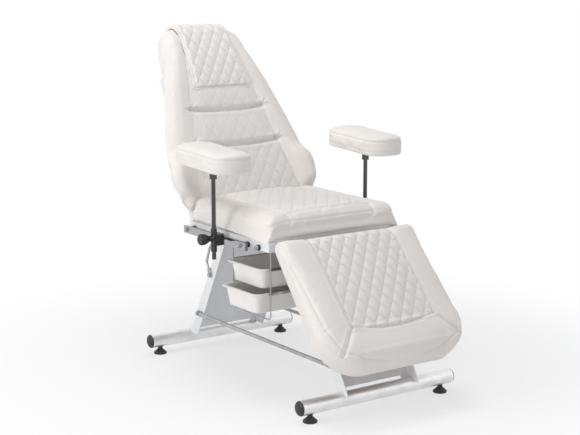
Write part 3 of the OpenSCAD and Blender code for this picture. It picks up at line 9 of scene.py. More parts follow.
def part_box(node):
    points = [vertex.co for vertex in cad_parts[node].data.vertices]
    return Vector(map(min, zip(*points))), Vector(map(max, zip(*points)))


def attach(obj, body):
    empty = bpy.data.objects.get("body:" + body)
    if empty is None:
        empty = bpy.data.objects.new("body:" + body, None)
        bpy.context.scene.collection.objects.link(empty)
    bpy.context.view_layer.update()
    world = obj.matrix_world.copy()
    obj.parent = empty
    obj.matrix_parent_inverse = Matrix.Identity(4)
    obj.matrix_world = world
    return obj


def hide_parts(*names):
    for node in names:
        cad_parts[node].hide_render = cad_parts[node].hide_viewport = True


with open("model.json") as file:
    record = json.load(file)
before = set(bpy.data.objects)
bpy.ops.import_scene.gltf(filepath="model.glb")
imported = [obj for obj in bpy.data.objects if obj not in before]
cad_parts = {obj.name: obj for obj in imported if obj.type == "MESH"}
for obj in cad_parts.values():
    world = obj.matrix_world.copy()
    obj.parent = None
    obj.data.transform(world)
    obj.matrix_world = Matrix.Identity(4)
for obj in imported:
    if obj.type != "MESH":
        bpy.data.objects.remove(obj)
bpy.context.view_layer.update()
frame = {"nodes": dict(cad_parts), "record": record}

nodes = frame["nodes"]
scene = bpy.context.scene
scene.view_settings.view_transform = "Standard"

# Lengths are in metres. The back and the leg rest have frames of their own: x runs across,
# s along the piece from its hinge, and t out of its face.

# ---------------------------------------------------------------- places
BACK_HINGE, BACK_ANGLE = (0.254, 0.505), math.radians(61.3)
LEG_HINGE, LEG_ANGLE = (-0.235, 0.494), math.radians(49.5)
CELL = (0.0478, 0.0644)         # a stitched diamond, across and along

# The camera, fitted to the photograph's feet, foot tubes and arm posts
EYE, LOOK = (-2.639, -3.744, 1.397), (0.5642, 0.8049, -0.1841)
LENS, SENSOR = 85.93, 36.0      # in millimetres


class Placed:
    """The own frame of the back or the leg rest.

    y points up along the piece, so s is y for the back and -y for the leg rest."""

    def __init__(self, hinge, angle):
        self.hinge = hinge
        self.c, self.s = math.cos(angle), math.sin(angle)

    def into(self, v):
        y, z = v[:, 1] - self.hinge[0], v[:, 2] - self.hinge[1]
        return np.stack([v[:, 0], y * self.c + z * self.s, z * self.c - y * self.s], 1)

    def out(self, v):
        y, z = v[:, 1] * self.c - v[:, 2] * self.s, v[:, 1] * self.s + v[:, 2] * self.c
        return np.stack([v[:, 0], y + self.hinge[0], z + self.hinge[1]], 1)


BACK = Placed(BACK_HINGE, BACK_ANGLE)
LEG = Placed(LEG_HINGE, LEG_ANGLE)


# ---------------------------------------------------------------- shader maths
class Wire:
    """A socket with arithmetic. Its nodes go into the tree that was started last."""

    tree = None

    def __init__(self, socket):
        self.socket = socket

    @classmethod
    def plug(cls, target, value):
        if isinstance(value, Wire):
            cls.tree.links.new(value.socket, target)
        else:
            target.default_value = value

    @classmethod
    def node(cls, kind, settings=None, out=0, **inputs):
        """A new node: i0, i1 and so on are inputs by number, the others by name."""
        n = cls.tree.nodes.new(kind)
        for key, value in (settings or {}).items():
            setattr(n, key, value)
        for key, value in inputs.items():
            numbered = key[0] == "i" and key[1:].isdigit()
            cls.plug(n.inputs[int(key[1:]) if numbered else key.replace("_", " ")], value)
        return Wire(n.outputs[out])

    def maths(self, op, *others):
        keys = {f"i{i}": v for i, v in enumerate((self, *others))}
        return Wire.node("ShaderNodeMath", {"operation": op}, **keys)

    def __add__(self, o): return self.maths("ADD", o)
    def __sub__(self, o): return self.maths("SUBTRACT", o)
    def __mul__(self, o): return self.maths("MULTIPLY", o)
    def __truediv__(self, o): return self.maths("DIVIDE", o)
    def __pow__(self, o): return self.maths("POWER", o)
    def __radd__(self, o): return self.maths("ADD", o)
    def __rmul__(self, o): return self.maths("MULTIPLY", o)

    def __rsub__(self, o):
        return Wire.node("ShaderNodeMath", {"operation": "SUBTRACT"}, i0=o, i1=self)

    def abs(self): return self.maths("ABSOLUTE")
    def smaller(self, o): return self.maths("MINIMUM", o)
    def larger(self, o): return self.maths("MAXIMUM", o)
    def ridge(self, o): return self.maths("PINGPONG", o)

    def step(self, lo, hi):
        """0 below lo and 1 above hi, smooth between; turned round when lo is above hi."""
        a, b, x, y = (lo, hi, 0.0, 1.0) if lo < hi else (hi, lo, 1.0, 0.0)
        return Wire.node("ShaderNodeMapRange", {"interpolation_type": "SMOOTHSTEP"},
                         Value=self, From_Min=a, From_Max=b, To_Min=x, To_Max=y)


def start_tree(owner):
    """An empty shader tree for a material or the world."""
    owner.use_nodes = True
    Wire.tree = owner.node_tree
    Wire.tree.nodes.clear()


def end_tree(kind, shader):
    Wire.plug(Wire.tree.nodes.new(kind).inputs[0], shader)


def colour(c):
    return c if isinstance(c, Wire) else (*c, 1.0)


def mix(a, b, factor):
    """Colour a turned to colour b by factor."""
    return Wire.node("ShaderNodeMix", {"data_type": "RGBA"}, out=2,
                     i0=factor, i6=colour(a), i7=colour(b))


def dimmed(tint, share):
    return tuple(c * share for c in tint)


def place():
    """Where a point lies on its own piece."""
    return Wire.node("ShaderNodeTexCoord", out="Object")


def scaled(p, size):
    return Wire.node("ShaderNodeMapping", {"vector_type": "POINT"}, Vector=p, Scale=size)


def noise(p, scale, detail=3.0, rough=0.5):
    return Wire.node("ShaderNodeTexNoise", Vector=p, Scale=scale, Detail=detail,
                     Roughness=rough)


def cells(p, scale, out="Distance"):
    return Wire.node("ShaderNodeTexVoronoi", out=out, Vector=p, Scale=scale)


def parts(p):
    n = Wire.tree.nodes.new("ShaderNodeSeparateXYZ")
    Wire.plug(n.inputs[0], p)
    return [Wire(o) for o in n.outputs]


def bump(height, strength, distance, **under):
    """A relief of the given depth, over another one where under gives its Normal."""
    return Wire.node("ShaderNodeBump", Height=height, Strength=strength,
                     Distance=distance, **under)


def material(name, build, **constants):
    """A Principled material: build() returns what varies, constants go on the sockets."""
    m = bpy.data.materials.new(name)
    start_tree(m)
    shader = Wire.node("ShaderNodeBsdfPrincipled", **constants, **build())
    end_tree("ShaderNodeOutputMaterial", shader)
    return m


# ---------------------------------------------------------------- finishes
WHITE_HIDE = (0.82, 0.782, 0.752)
PANEL_HIDE = (0.760, 0.733, 0.712)
POWDER = (0.83, 0.835, 0.845)
TUBE = (0.82, 0.82, 0.825)
TRAY = (0.84, 0.825, 0.80)
HIDE = {"Specular_IOR_Level": 0.45, "Sheen_Weight": 0.05}
STITCHES = 11.0                 # in one side of a diamond
WEAVE, WEAVE_SLANT = 520.0, 160.0
ALONG_X = (30.0, 1400.0, 1400.0)


def hide_base(p):
    """Leatherette: pebbled grain, faint clouds of tone, and roughness that follows it."""
    grain = cells(p, 900.0)
    fine = noise(p, 2600.0, 2.0)
    cloud = noise(p, 9.0, 4.0, 0.6)
    tone = mix(WHITE_HIDE, dimmed(WHITE_HIDE, 0.955), cloud.step(0.35, 0.72))
    tone = mix(tone, dimmed(WHITE_HIDE, 0.93), grain.step(0.55, 0.95) * 0.35)
    height = (1.0 - grain) * 0.6 + fine * 0.4
    rough = 0.46 + (cloud - 0.5) * 0.14 + grain * 0.06
    return tone, rough, bump(height, 0.22, 0.0004)


def hide():
    tone, rough, normal = hide_base(place())
    return {"Base_Color": tone, "Roughness": rough, "Normal": normal}


def quilted(origin, angle, wide, tall, across, up, start=0.0, line=0.03):
    """Woven-grained leatherette with stitched diamonds, in the piece's own plane.

    across and up give the distance inside the panel's sides and ends, in metres."""
    def build():
        p = place()
        x, y, z = parts(p)
        along = (y - origin[0]) * math.cos(angle) + (z - origin[1]) * math.sin(angle)
        tone, rough, normal = hide_base(p)
        inside = across(along, x).smaller(up(along, x)).step(-0.0005, 0.0015)
        a = x / wide + (along - start) / tall
        b = x / wide - (along - start) / tall
        da, db = a.ridge(0.5), b.ridge(0.5)
        groove = da.smaller(db).step(line, 0.0) * inside
        dash_a, dash_b = ((k * STITCHES).ridge(0.5).step(0.10, 0.2) for k in (b, a))
        thread = (da.step(line * 0.5, line * 0.3) * dash_a).larger(
            db.step(line * 0.5, line * 0.3) * dash_b) * inside
        weave = (x * WEAVE + along * WEAVE_SLANT).ridge(0.5) \
            * (along * WEAVE - x * WEAVE_SLANT).ridge(0.5)
        tone = mix(tone, PANEL_HIDE, inside * (0.75 + weave * 0.6))
        # Painted shade: the stitched grooves are darkened in colour, on top of their real dip
        # in the relief
        tone = mix(tone, dimmed(WHITE_HIDE, 0.80), groove * 0.5)
        tone = mix(tone, WHITE_HIDE, thread * 0.6)
        relief = weave * inside * 0.25 + thread * 0.45 - groove
        return {"Base_Color": tone, "Roughness": rough,
                "Normal": bump(relief, 0.6, 0.0012, Normal=normal)}
    return build


def powder():
    p = place()
    cloud = noise(p, 14.0, 3.0)
    return {"Base_Color": mix(POWDER, dimmed(POWDER, 0.95), cloud.step(0.3, 0.75)),
            "Roughness": 0.30 + cloud * 0.12,
            "Normal": bump(noise(p, 420.0, 2.0), 0.10, 0.0004)}


def brushed_tube():
    p = place()
    lines = noise(scaled(p, ALONG_X), 1.0, 2.0)
    smudge = noise(p, 22.0, 4.0, 0.6)
    return {"Base_Color": mix(TUBE, dimmed(TUBE, 0.86), smudge.step(0.4, 0.8)),
            "Roughness": 0.33 + lines * 0.10 + smudge * 0.08,
            "Normal": bump(lines, 0.06, 0.0003)}


def chromed(tint, rough):
    def build():
        smudge = noise(place(), 35.0, 5.0, 0.65)
        return {"Base_Color": mix(tint, dimmed(tint, 0.9), smudge.step(0.45, 0.8)),
                "Roughness": rough + smudge.step(0.4, 0.8) * 0.10}
    return build


def zinc():
    p = place()
    flake = cells(p, 260.0, "Color")
    smudge = noise(p, 30.0, 4.0, 0.6)
    tone = mix((0.50, 0.505, 0.51), (0.40, 0.40, 0.405), smudge.step(0.35, 0.75))
    return {"Base_Color": mix(tone, flake, 0.04), "Roughness": 0.30 + smudge * 0.25,
            "Normal": bump(noise(p, 900.0, 2.0), 0.08, 0.0003)}


def black_moulded():
    p = place()
    dust = noise(p, 40.0, 4.0, 0.6)
    return {"Base_Color": mix((0.018, 0.018, 0.019), (0.05, 0.05, 0.05),
                              dust.step(0.5, 0.85) * 0.6),
            "Roughness": 0.34 + dust * 0.22,
            "Normal": bump(noise(p, 1500.0, 3.0), 0.12, 0.0003)}


def enamel():
    p = place()
    smudge = noise(p, 30.0, 4.0, 0.6)
    return {"Base_Color": mix((0.02, 0.02, 0.022), (0.05, 0.05, 0.052),
                              smudge.step(0.45, 0.8)),
            "Roughness": 0.24 + smudge * 0.2,
            "Normal": bump(noise(p, 500.0, 2.0), 0.07, 0.0003)}


def tray_white():
    p = place()
    flow = noise(p, 12.0, 3.0)
    scratch = noise(scaled(p, (60.0, 900.0, 900.0)), 1.0, 2.0)
    return {"Base_Color": mix(TRAY, dimmed(TRAY, 0.95), flow.step(0.3, 0.75)),
            "Roughness": 0.26 + flow * 0.1 + scratch * 0.06,
            "Normal": bump(noise(p, 700.0, 2.0), 0.05, 0.0003)}


def ply():
    p = place()
    rings = noise(scaled(p, (6.0, 60.0, 90.0)), 1.0, 4.0, 0.6)
    fibre = noise(scaled(p, (30.0, 900.0, 900.0)), 1.0, 3.0)
    tone = mix((0.60, 0.45, 0.27), (0.46, 0.32, 0.17), rings.step(0.35, 0.7))
    return {"Base_Color": mix(tone, (0.36, 0.25, 0.13), fibre.step(0.55, 0.8) * 0.4),
            "Roughness": 0.55 + fibre * 0.2, "Normal": bump(fibre, 0.2, 0.0005)}


STEEL = {"Metallic": 1.0}
finish = {
    "hide": material("soft white leatherette", hide, **HIDE),
    "powder": material("white powder coat", powder, Specular_IOR_Level=0.5),
    "tube": material("satin chromed tube", brushed_tube, **STEEL),
    "zinc": material("zinc plated steel", zinc, **STEEL),
    "rail": material("polished rail", chromed((0.42, 0.42, 0.43), 0.10), **STEEL),
    "wire": material("bright chrome", chromed((0.42, 0.42, 0.44), 0.12), **STEEL),
    "post": material("dark chromed post", chromed((0.085, 0.085, 0.092), 0.12), **STEEL),
    "black": material("black moulding", black_moulded),
    "enamel": material("black enamel", enamel, Coat_Weight=0.3),
    "tray": material("white tray plastic", tray_white, Coat_Weight=0.1),
    "ply": material("birch board", ply),
}
slot_finish = {
    "satin_steel_tube": "tube", "black_plastic": "black", "white_powder_coat": "powder",
    "zinc_steel": "zinc", "plywood": "ply", "white_upholstery": "hide",
    "polished_rail": "rail", "chrome_wire": "wire", "white_plastic": "tray",
    "black_steel": "enamel",
}
# The seat's cover is drawn round its board, so the board's edge is leatherette too
node_finish = {"seat_board": "hide", "left_post": "post", "right_post": "post",
               # Painted shade: the pad plates take the dark post finish so they read as the
               # shade under the arm pads
               "left_pad_plate": "post", "right_pad_plate": "post"}
for part in frame["record"]["subparts"]:
    name = part["node"]
    look = finish[node_finish.get(name, slot_finish[part["material_slot"]])]
    nodes[name].data.materials.clear()
    nodes[name].data.materials.append(look)


# ---------------------------------------------------------------- padded pieces
CLOTH_FRAMES = 20


def ease(k):
    k = np.clip(k, 0, 1)
    return k * k * (3 - 2 * k)


def span(k, lo, hi):
    """0 at lo and 1 at hi, straight between."""
    return np.clip((k - lo) / (hi - lo), 0, 1)


def lerp(a, b, k):
    return a + (b - a) * k


def bow(k):
    return np.sin(np.pi * np.clip(k, 0, 1))


def trench(d, width):
    """A seam: a narrow dip with a soft swell beside it."""
    swell = np.exp(-((d - 3 * width) / (1.8 * width)) ** 2)
    return -np.exp(-(d / width) ** 2) + 0.22 * swell


def pillow(u, v, wide, tall):
    """Puff of a stitched diamond, 0 on its lines and 1 at its middle."""
    a, b = u / wide + v / tall, u / wide - v / tall
    return (np.abs(np.sin(np.pi * a)) * np.abs(np.sin(np.pi * b))) ** 0.55


def read(me, what):
    v = np.empty(len(me.vertices) * 3)
    me.vertices.foreach_get(what, v)
    return v.reshape(-1, 3)


def coords(me):
    return read(me, "co")


def put(me, v):
    me.vertices.foreach_set("co", np.ascontiguousarray(v).ravel())
    me.update()


def apply_all(o):
    """Every modifier of a piece becomes its mesh."""
    graph = bpy.context.evaluated_depsgraph_get()
    me = bpy.data.meshes.new_from_object(o.evaluated_get(graph))
    o.modifiers.clear()
    o.data = me


def inflate(o, cap, firm):
    """Air presses the cover out as cloth: by cap at most, and where firm(v) lets it."""
    before = coords(o.data)
    cloth = o.modifiers.new("air", "CLOTH")
    cloth.settings.quality = 4
    cloth.settings.mass = 0.3
    cloth.settings.tension_stiffness = cloth.settings.compression_stiffness = 25
    cloth.settings.shear_stiffness = 12
    cloth.settings.bending_stiffness = 2.0
    cloth.settings.use_pressure = True
    cloth.settings.uniform_pressure_force = 4.0
    cloth.settings.effector_weights.gravity = 0.0
    cloth.collision_settings.use_collision = False
    cloth.point_cache.frame_start, cloth.point_cache.frame_end = 1, CLOTH_FRAMES
    scene.frame_start, scene.frame_end = 1, CLOTH_FRAMES
    for f in range(1, CLOTH_FRAMES + 1):
        scene.frame_set(f)
    apply_all(o)
    scene.frame_set(1)
    move = coords(o.data) - before
    size = np.linalg.norm(move, axis=1, keepdims=True)
    move *= np.minimum(1.0, cap / np.maximum(size, 1e-9))
    put(o.data, before + move * firm(before)[:, None])


def stuffed(name, node, voxel, cap, firm, cut):
    """A closed copy of a soft solid, cut to its cover's pattern and inflated.

    cut(v) draws the even grid to the cover's outline, firm(v) says where it may swell."""
    o = bpy.data.objects.new(name, nodes[node].data.copy())
    scene.collection.objects.link(o)
    bm = bmesh.new()
    bm.from_mesh(o.data)
    bmesh.ops.remove_doubles(bm, verts=bm.verts, dist=0.00002)
    bm.to_mesh(o.data)
    bm.free()
    grid = o.modifiers.new("even grid", "REMESH")
    grid.mode, grid.voxel_size = "VOXEL", voxel
    calm = o.modifiers.new("calm", "CORRECTIVE_SMOOTH")
    calm.iterations, calm.use_only_smooth = 6, True
    apply_all(o)
    put(o.data, cut(coords(o.data)))
    inflate(o, cap, firm)
    round_off = o.modifiers.new("finer", "SUBSURF")
    round_off.levels = round_off.render_levels = 1
    apply_all(o)
    return o


def finish_piece(o, node, body, look):
    """The cover takes its solid's place and rides on its body."""
    o.data.materials.clear()
    o.data.materials.append(look)
    o.data.polygons.foreach_set("use_smooth", [True] * len(o.data.polygons))
    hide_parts(node)
    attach(o, body)


# The leg rest. PLAIN_ is its solid's value, the others are the cover's.
LEG_PANEL = 0.162                               # half width of the quilting
LEG_END, PLAIN_LEG_END = 0.485, 0.462
LEG_CORNER, LEG_CORNER_IN = 0.138, 0.154        # length and depth of the round corners
PLAIN_LEG_CORNER = 0.378                        # where the solid's corners begin
LEG_ROLL = 0.433                                # the roll at the foot, lengthened
LEG_KEPT, LEG_SPLIT = 0.014, 0.0335             # the rear that stays as it is, and its top
LEG_CORE = 0.198                                # half width that the board holds flat
LEG_FIRST_CELL = 0.1835
SMILE, SMILE_SAG = 0.343, 0.022                 # the seam that closes the quilting
WING_SLOPE, WING_ACROSS = 0.82, 0.77            # of the seams from its ends to the foot
WING_SEAM_END = 0.43
BOXING_AT = 0.222                               # where the boxing seam turns inwards
LEG_SEAM, LEG_SEAM_2, LEG_SEAM_GAP = 0.0034, 0.0018, 0.009


def leg_half(s):
    k = span(s, LEG_END - LEG_CORNER, LEG_END)
    return 0.268 + 0.011 * np.clip(s / (LEG_END - LEG_CORNER), 0, 1) \
        - LEG_CORNER_IN * (1 - np.sqrt(1 - k * k))


def plain_leg_half(s):
    k = span(s, PLAIN_LEG_CORNER, PLAIN_LEG_END)
    return 0.256 + 0.032 * np.clip(s / PLAIN_LEG_CORNER, 0, 1) \
        - 0.084 * (1 - np.sqrt(1 - k * k))


def notch(s, at):
    return np.clip(1 - np.abs(s - at) / 0.014, 0, 1) ** 1.5


def leg_face(x, s, half, high, low, end, seams):
    """Height of the leg rest's face over its rear, in the plain solid or in the cover."""
    k = span(np.abs(x), LEG_PANEL, np.maximum(half, LEG_PANEL + 0.01))
    crown = (1 - np.minimum(np.abs(x) / half, 1) ** 2) \
        * (0.35 + 0.65 * bow(0.9 * s / end + 0.05))
    sewn = 0.008 * notch(s, 0.352) * (1 - ease((np.abs(x) - LEG_PANEL) / 0.04)) \
        + 0.005 * notch(s, 0.434)
    return lerp(high, low, s / end) + 0.018 * crown + 0.004 * bow(k) - seams * sewn


def leg_cut(v):
    """The cover is fuller at the top, longer at the foot and rounder at its corners."""
    q = LEG.into(v)
    x, s, t = q[:, 0], -q[:, 1], q[:, 2]
    stretch = (LEG_END - LEG_ROLL) / (PLAIN_LEG_END - LEG_ROLL)
    long = np.where(s > LEG_ROLL, LEG_ROLL + (s - LEG_ROLL) * stretch,
                    s - 0.007 * span(s, 0.035, 0.005))
    was, now = plain_leg_half(s), leg_half(long)
    core = LEG_CORE * (1 - ease((s - PLAIN_LEG_CORNER - 0.002) / 0.05))
    side = np.abs(x)
    wide = np.where(side < core, side, core + (side - core) * (now - core) / (was - core))
    wide *= np.sign(x)
    high = leg_face(x, s, was, 0.050, 0.088, PLAIN_LEG_END, 1) - LEG_KEPT
    full = leg_face(wide, long, now, 0.060, 0.076, LEG_END, 0) - LEG_KEPT
    over = t - LEG_SPLIT
    thick = np.where(over < 0, t, LEG_SPLIT + over * full / high)
    return LEG.out(np.stack([wide, -long, thick], 1))


def leg_rest():
    """Quilted panel with a smile seam, a smooth bolster below it and wings beside it."""
    o = stuffed("leg_rest_cushion", "leg_cushion", 0.0055, 0.006,
                lambda v: ease((LEG.into(v)[:, 2] - 0.034) / 0.02), leg_cut)
    v, n = coords(o.data), read(o.data, "normal")
    q, m = LEG.into(v), LEG.into(v + n) - LEG.into(v)
    x, s = q[:, 0], -q[:, 1]
    side = np.abs(x)
    front = ease((m[:, 2] - 0.3) / 0.3)
    face = ease((m[:, 2] + 0.1) / 0.3)
    smile = SMILE + SMILE_SAG * (1 - (x / LEG_PANEL) ** 2)
    inside = ease((LEG_PANEL - side) / 0.004) * ease((smile - s) / 0.004) * front
    lift = (0.0052 * pillow(x, s - LEG_FIRST_CELL, *CELL) - 0.001) * inside
    lift -= 0.004 * ease((LEG_PANEL + 0.012 - side) / 0.03) * inside
    # A double seam down the panel's sides turns out along the bolster's ends
    edge = LEG_PANEL + WING_SLOPE * (s - SMILE)
    above = s < SMILE
    along = np.abs(side - LEG_PANEL)
    diagonal = np.where((s >= SMILE) & (s < WING_SEAM_END),
                        np.abs(side - edge) * WING_ACROSS, 1)
    lift += 0.0045 * trench(np.where(above, along, 1), LEG_SEAM) * front
    lift += 0.0050 * trench(diagonal, LEG_SEAM) * face
    lift += 0.0022 * trench(np.where(above, np.abs(side - LEG_PANEL - LEG_SEAM_GAP), 1),
                            LEG_SEAM_2) * front
    lift += 0.0022 * trench(np.where(diagonal < 1, np.abs(diagonal - LEG_SEAM_GAP), 1),
                            LEG_SEAM_2) * face * (side > edge)
    lift += 0.0052 * trench(np.abs(s - smile), LEG_SEAM) * front * (side < LEG_PANEL)
    # The boxing seam runs down the wings and round under the bolster
    wing = 0.2635 - 0.035 * s - 0.030 * np.clip((s - 0.31) / 0.115, 0, 1) ** 2
    under = 0.4215 + 0.0485 * (1 - (side / BOXING_AT) ** 2)
    seam = np.where(side > BOXING_AT, np.abs(side - wing), np.abs(s - under) * 0.9)
    seam = np.where((side > BOXING_AT) | (s > 0.40), seam, 1)
    lift += 0.0030 * trench(seam, 0.0030) * face
    # The bolster swells between its seams
    k = np.clip((s - smile) / np.maximum(under - smile, 0.01), 0, 1)
    lift += 0.006 * np.sin(np.pi * k) * front * ease((edge - side) / 0.03)
    put(o.data, v + n * lift[:, None])
    quilting = material("leg rest quilting", quilted(
        LEG_HINGE, LEG_ANGLE, *CELL, lambda y, x: LEG_PANEL - x.abs(),
        lambda y, x: y + SMILE + SMILE_SAG * (1.0 - (x * x) / LEG_PANEL ** 2),
        start=-LEG_FIRST_CELL), **HIDE)
    finish_piece(o, "leg_cushion", "leg_rest", quilting)


# The seat
SEAT_PANEL, SEAT_RIM = 0.168, 0.2655            # half widths of the quilting and the rim
SEAT_SEAM = -0.196                              # where the quilting ends, before the nose
SEAT_CREASES = ((-0.222, -0.205), (0.222, -0.205), (-0.10, -0.222))


def seat_cut(v):
    """The cover is drawn down outside the frame's side tubes, lowest at the front."""
    x, y, z = v.T
    low = ease(span(z, 0.566, 0.530))
    rim = ease(span(np.abs(x), 0.215, 0.236)) * low
    wide = np.sign(x) * (np.abs(x) + rim * np.maximum(SEAT_RIM - np.abs(x), 0))
    nose = ease(span(y, -0.205, -0.218)) * low
    y = y - nose * 0.004
    return np.stack([wide, y, z - rim * 0.014 * span(y, 0.16, -0.19) - nose * 0.004], 1)


def seat():
    """Crowned seat: a quilted middle that rolls over the front edge, and smooth wings."""
    o = stuffed("seat_pad", "seat_cushion", 0.0055, 0.007,
                lambda v: ease((v[:, 2] - 0.535) / 0.02), seat_cut)
    v, n = coords(o.data), read(o.data, "normal")
    x, y, z = v.T
    side = np.abs(x)
    front = ease((n[:, 2] - 0.35) / 0.3)
    face = np.maximum(front, ease((-n[:, 1] - 0.3) / 0.3) * ease((z - 0.560) / 0.01))
    inside = ease((SEAT_PANEL - side) / 0.004) * front * ease((y - SEAT_SEAM - 0.004) / 0.006)
    lift = 0.0034 * pillow(x, y, *CELL) * inside
    lift += 0.0045 * trench(np.abs(side - SEAT_PANEL), 0.0036) * face
    lift += 0.0022 * trench(np.abs(y - SEAT_SEAM), 0.0036) * front * (side < SEAT_PANEL)
    boxing = 0.579 - 0.010 * ease((side - 0.20) / 0.05)
    lift += 0.0014 * trench(np.abs(z - boxing), 0.0028) * ease((0.75 - n[:, 2]) / 0.3)
    # Soft creases at the front corners, where the cover is drawn round
    for at_x, at_y in SEAT_CREASES:
        d = np.hypot((x - at_x) / 0.030, (y - at_y) / 0.016)
        lift += 0.0010 * np.cos(4.2 * d) * np.exp(-d * d) * face
    put(o.data, v + n * lift[:, None])
    quilting = material("seat quilting", quilted(
        (0.0, 0.52), 0.0, *CELL, lambda y, x: SEAT_PANEL - x.abs(),
        lambda y, x: y - (SEAT_SEAM + 0.002)), **HIDE)
    finish_piece(o, "seat_cushion", "frame", quilting)


# The back and its head pad. PLAIN_ is their solids' value, the others are the covers'.
BACK_FACE, BACK_REAR = 0.036, -0.0377
BACK_FOOT = 0.031
SHOULDER, BACK_TOP = 0.632, 0.744
PLAIN_SHOULDER, PLAIN_TOP = 0.600, 0.735
PANEL_FOOT, PANEL_HEAD = 0.215, 0.104           # half widths of the quilted middle
CHANNELS = (0.263, 0.395)
ROLLS_END = 0.50
WING_AT, WING_HALF = 0.165, 0.299               # where the cover is widest, and how wide
PLAIN_WING_AT, PLAIN_WING_HALF = 0.185, 0.296
BACK_FIRST_CELL = 0.117
QUILT_LOW, QUILT_HIGH = 0.05, 0.66              # where the quilting begins and ends
POCKET_HALF, POCKET_LOW, POCKET_HIGH = 0.206, 0.037, 0.609      # the solid's, for a board
BOARD_LOW, BOARD_HIGH, BOARD_HALF = 0.043, 0.548, 0.200
BOARD_REAR, BOARD_THICK = -0.038, 0.0118


def back_panel(s):
    return lerp(PANEL_FOOT, PANEL_HEAD, span(s, BACK_FOOT, SHOULDER))


def plain_back_panel(s):
    return lerp(PANEL_FOOT, PANEL_HEAD, span(s, BACK_FOOT, PLAIN_SHOULDER))


def back_half(s):
    low = lerp(0.262, WING_HALF, np.sin(np.pi / 2 * span(s, BACK_FOOT, WING_AT)))
    high = lerp(WING_HALF, 0.179, span(s, WING_AT, SHOULDER) ** 1.35)
    top = (1 - (span(s, SHOULDER, BACK_TOP) * 0.82) ** 2.4) ** 0.6
    return np.where(s < WING_AT, low, high) * top


def plain_back_half(s):
    k = span(s, PLAIN_WING_AT, PLAIN_SHOULDER)
    low = lerp(0.257, PLAIN_WING_HALF,
               np.sin(np.pi / 2 * span(s, BACK_FOOT, PLAIN_WING_AT)))
    high = lerp(PLAIN_WING_HALF, 0.196, 0.7 * k + 0.3 * ease(k))
    top = (1 - (span(s, PLAIN_SHOULDER, PLAIN_TOP) * 0.82) ** 1.6) ** 0.6
    return np.where(s < PLAIN_WING_AT, low, high) * top


def back_face(x, s, half, panel, shoulder, top):
    """Height of the back's face, with wings that stand forward near its foot."""
    p = np.minimum(panel, half * 0.8)
    k = np.clip((np.abs(x) - p) / (half - p), 0, 1)
    puff = bow(k) * ease((s - BACK_FOOT) / 0.062) \
        * ease((top - s) / (top - shoulder) * 1.2)
    wings = ease(k * 1.4) * ease((s - 0.062) / 0.0496) * ease((CHANNELS[0] - s) / 0.0806)
    return BACK_FACE - 0.014 * k * k + 0.008 * puff + 0.030 * wings


def both_faces(x, s, wide, long, was, now):
    """The solid's face and the cover's, at the same place before and after the cut."""
    return (back_face(x, s, was, plain_back_panel(s), PLAIN_SHOULDER, PLAIN_TOP),
            back_face(wide, long, now, back_panel(long), SHOULDER, BACK_TOP))


def wing_rear(s):
    """How far the rear edges of the wings come forward."""
    return lerp(0.044, 0.066, ease((CHANNELS[1] - s) / 0.364)) * span(s, 0.600, 0.500)


def edge_share(x, s):
    return ease(span(np.abs(x) / back_half(s), 0.8, 0.94))


def back_bend(s, near):
    """The top sweeps rearwards; near is 1 at the face and 0 at the rear."""
    return -0.034 * lerp(span(s, 0.56, BACK_TOP) ** 2, span(s, 0.50, BACK_TOP) ** 2, near)


def stretched_top(s):
    """The back's top reaches a little higher in its cover."""
    return PLAIN_SHOULDER + (s - PLAIN_SHOULDER) * (BACK_TOP - PLAIN_SHOULDER) \
        / (PLAIN_TOP - PLAIN_SHOULDER)


def board_half(s):
    return np.minimum(BOARD_HALF, back_half(s) * 0.8 - 0.004)


def back_cut(v):
    """The cover has fuller shoulders, wings drawn forward behind, and a swept top."""
    x, s, t = BACK.into(v).T
    long = np.where(s > PLAIN_SHOULDER, stretched_top(s), s)
    was, now = plain_back_half(s), back_half(long)
    wide = x * now / was
    top, full = both_faces(x, s, wide, long, was, now)
    # Beside the board the rear is closed again, flush with it
    beside = (np.abs(wide) > board_half(long) + 0.002) | (long > BOARD_HIGH + 0.002)
    pocket = (np.abs(x) < np.minimum(POCKET_HALF, was * 0.93)) & (t < -0.020) \
        & (s > POCKET_LOW) & (s < POCKET_HIGH) & beside
    t = np.where(pocket, BACK_REAR, t)
    near = span(t, BACK_REAR, top)
    t = t + (1 - near) * wing_rear(long) * edge_share(wide, long) + near * (full - top)
    return BACK.out(np.stack([wide, long, t + back_bend(long, near)], 1))


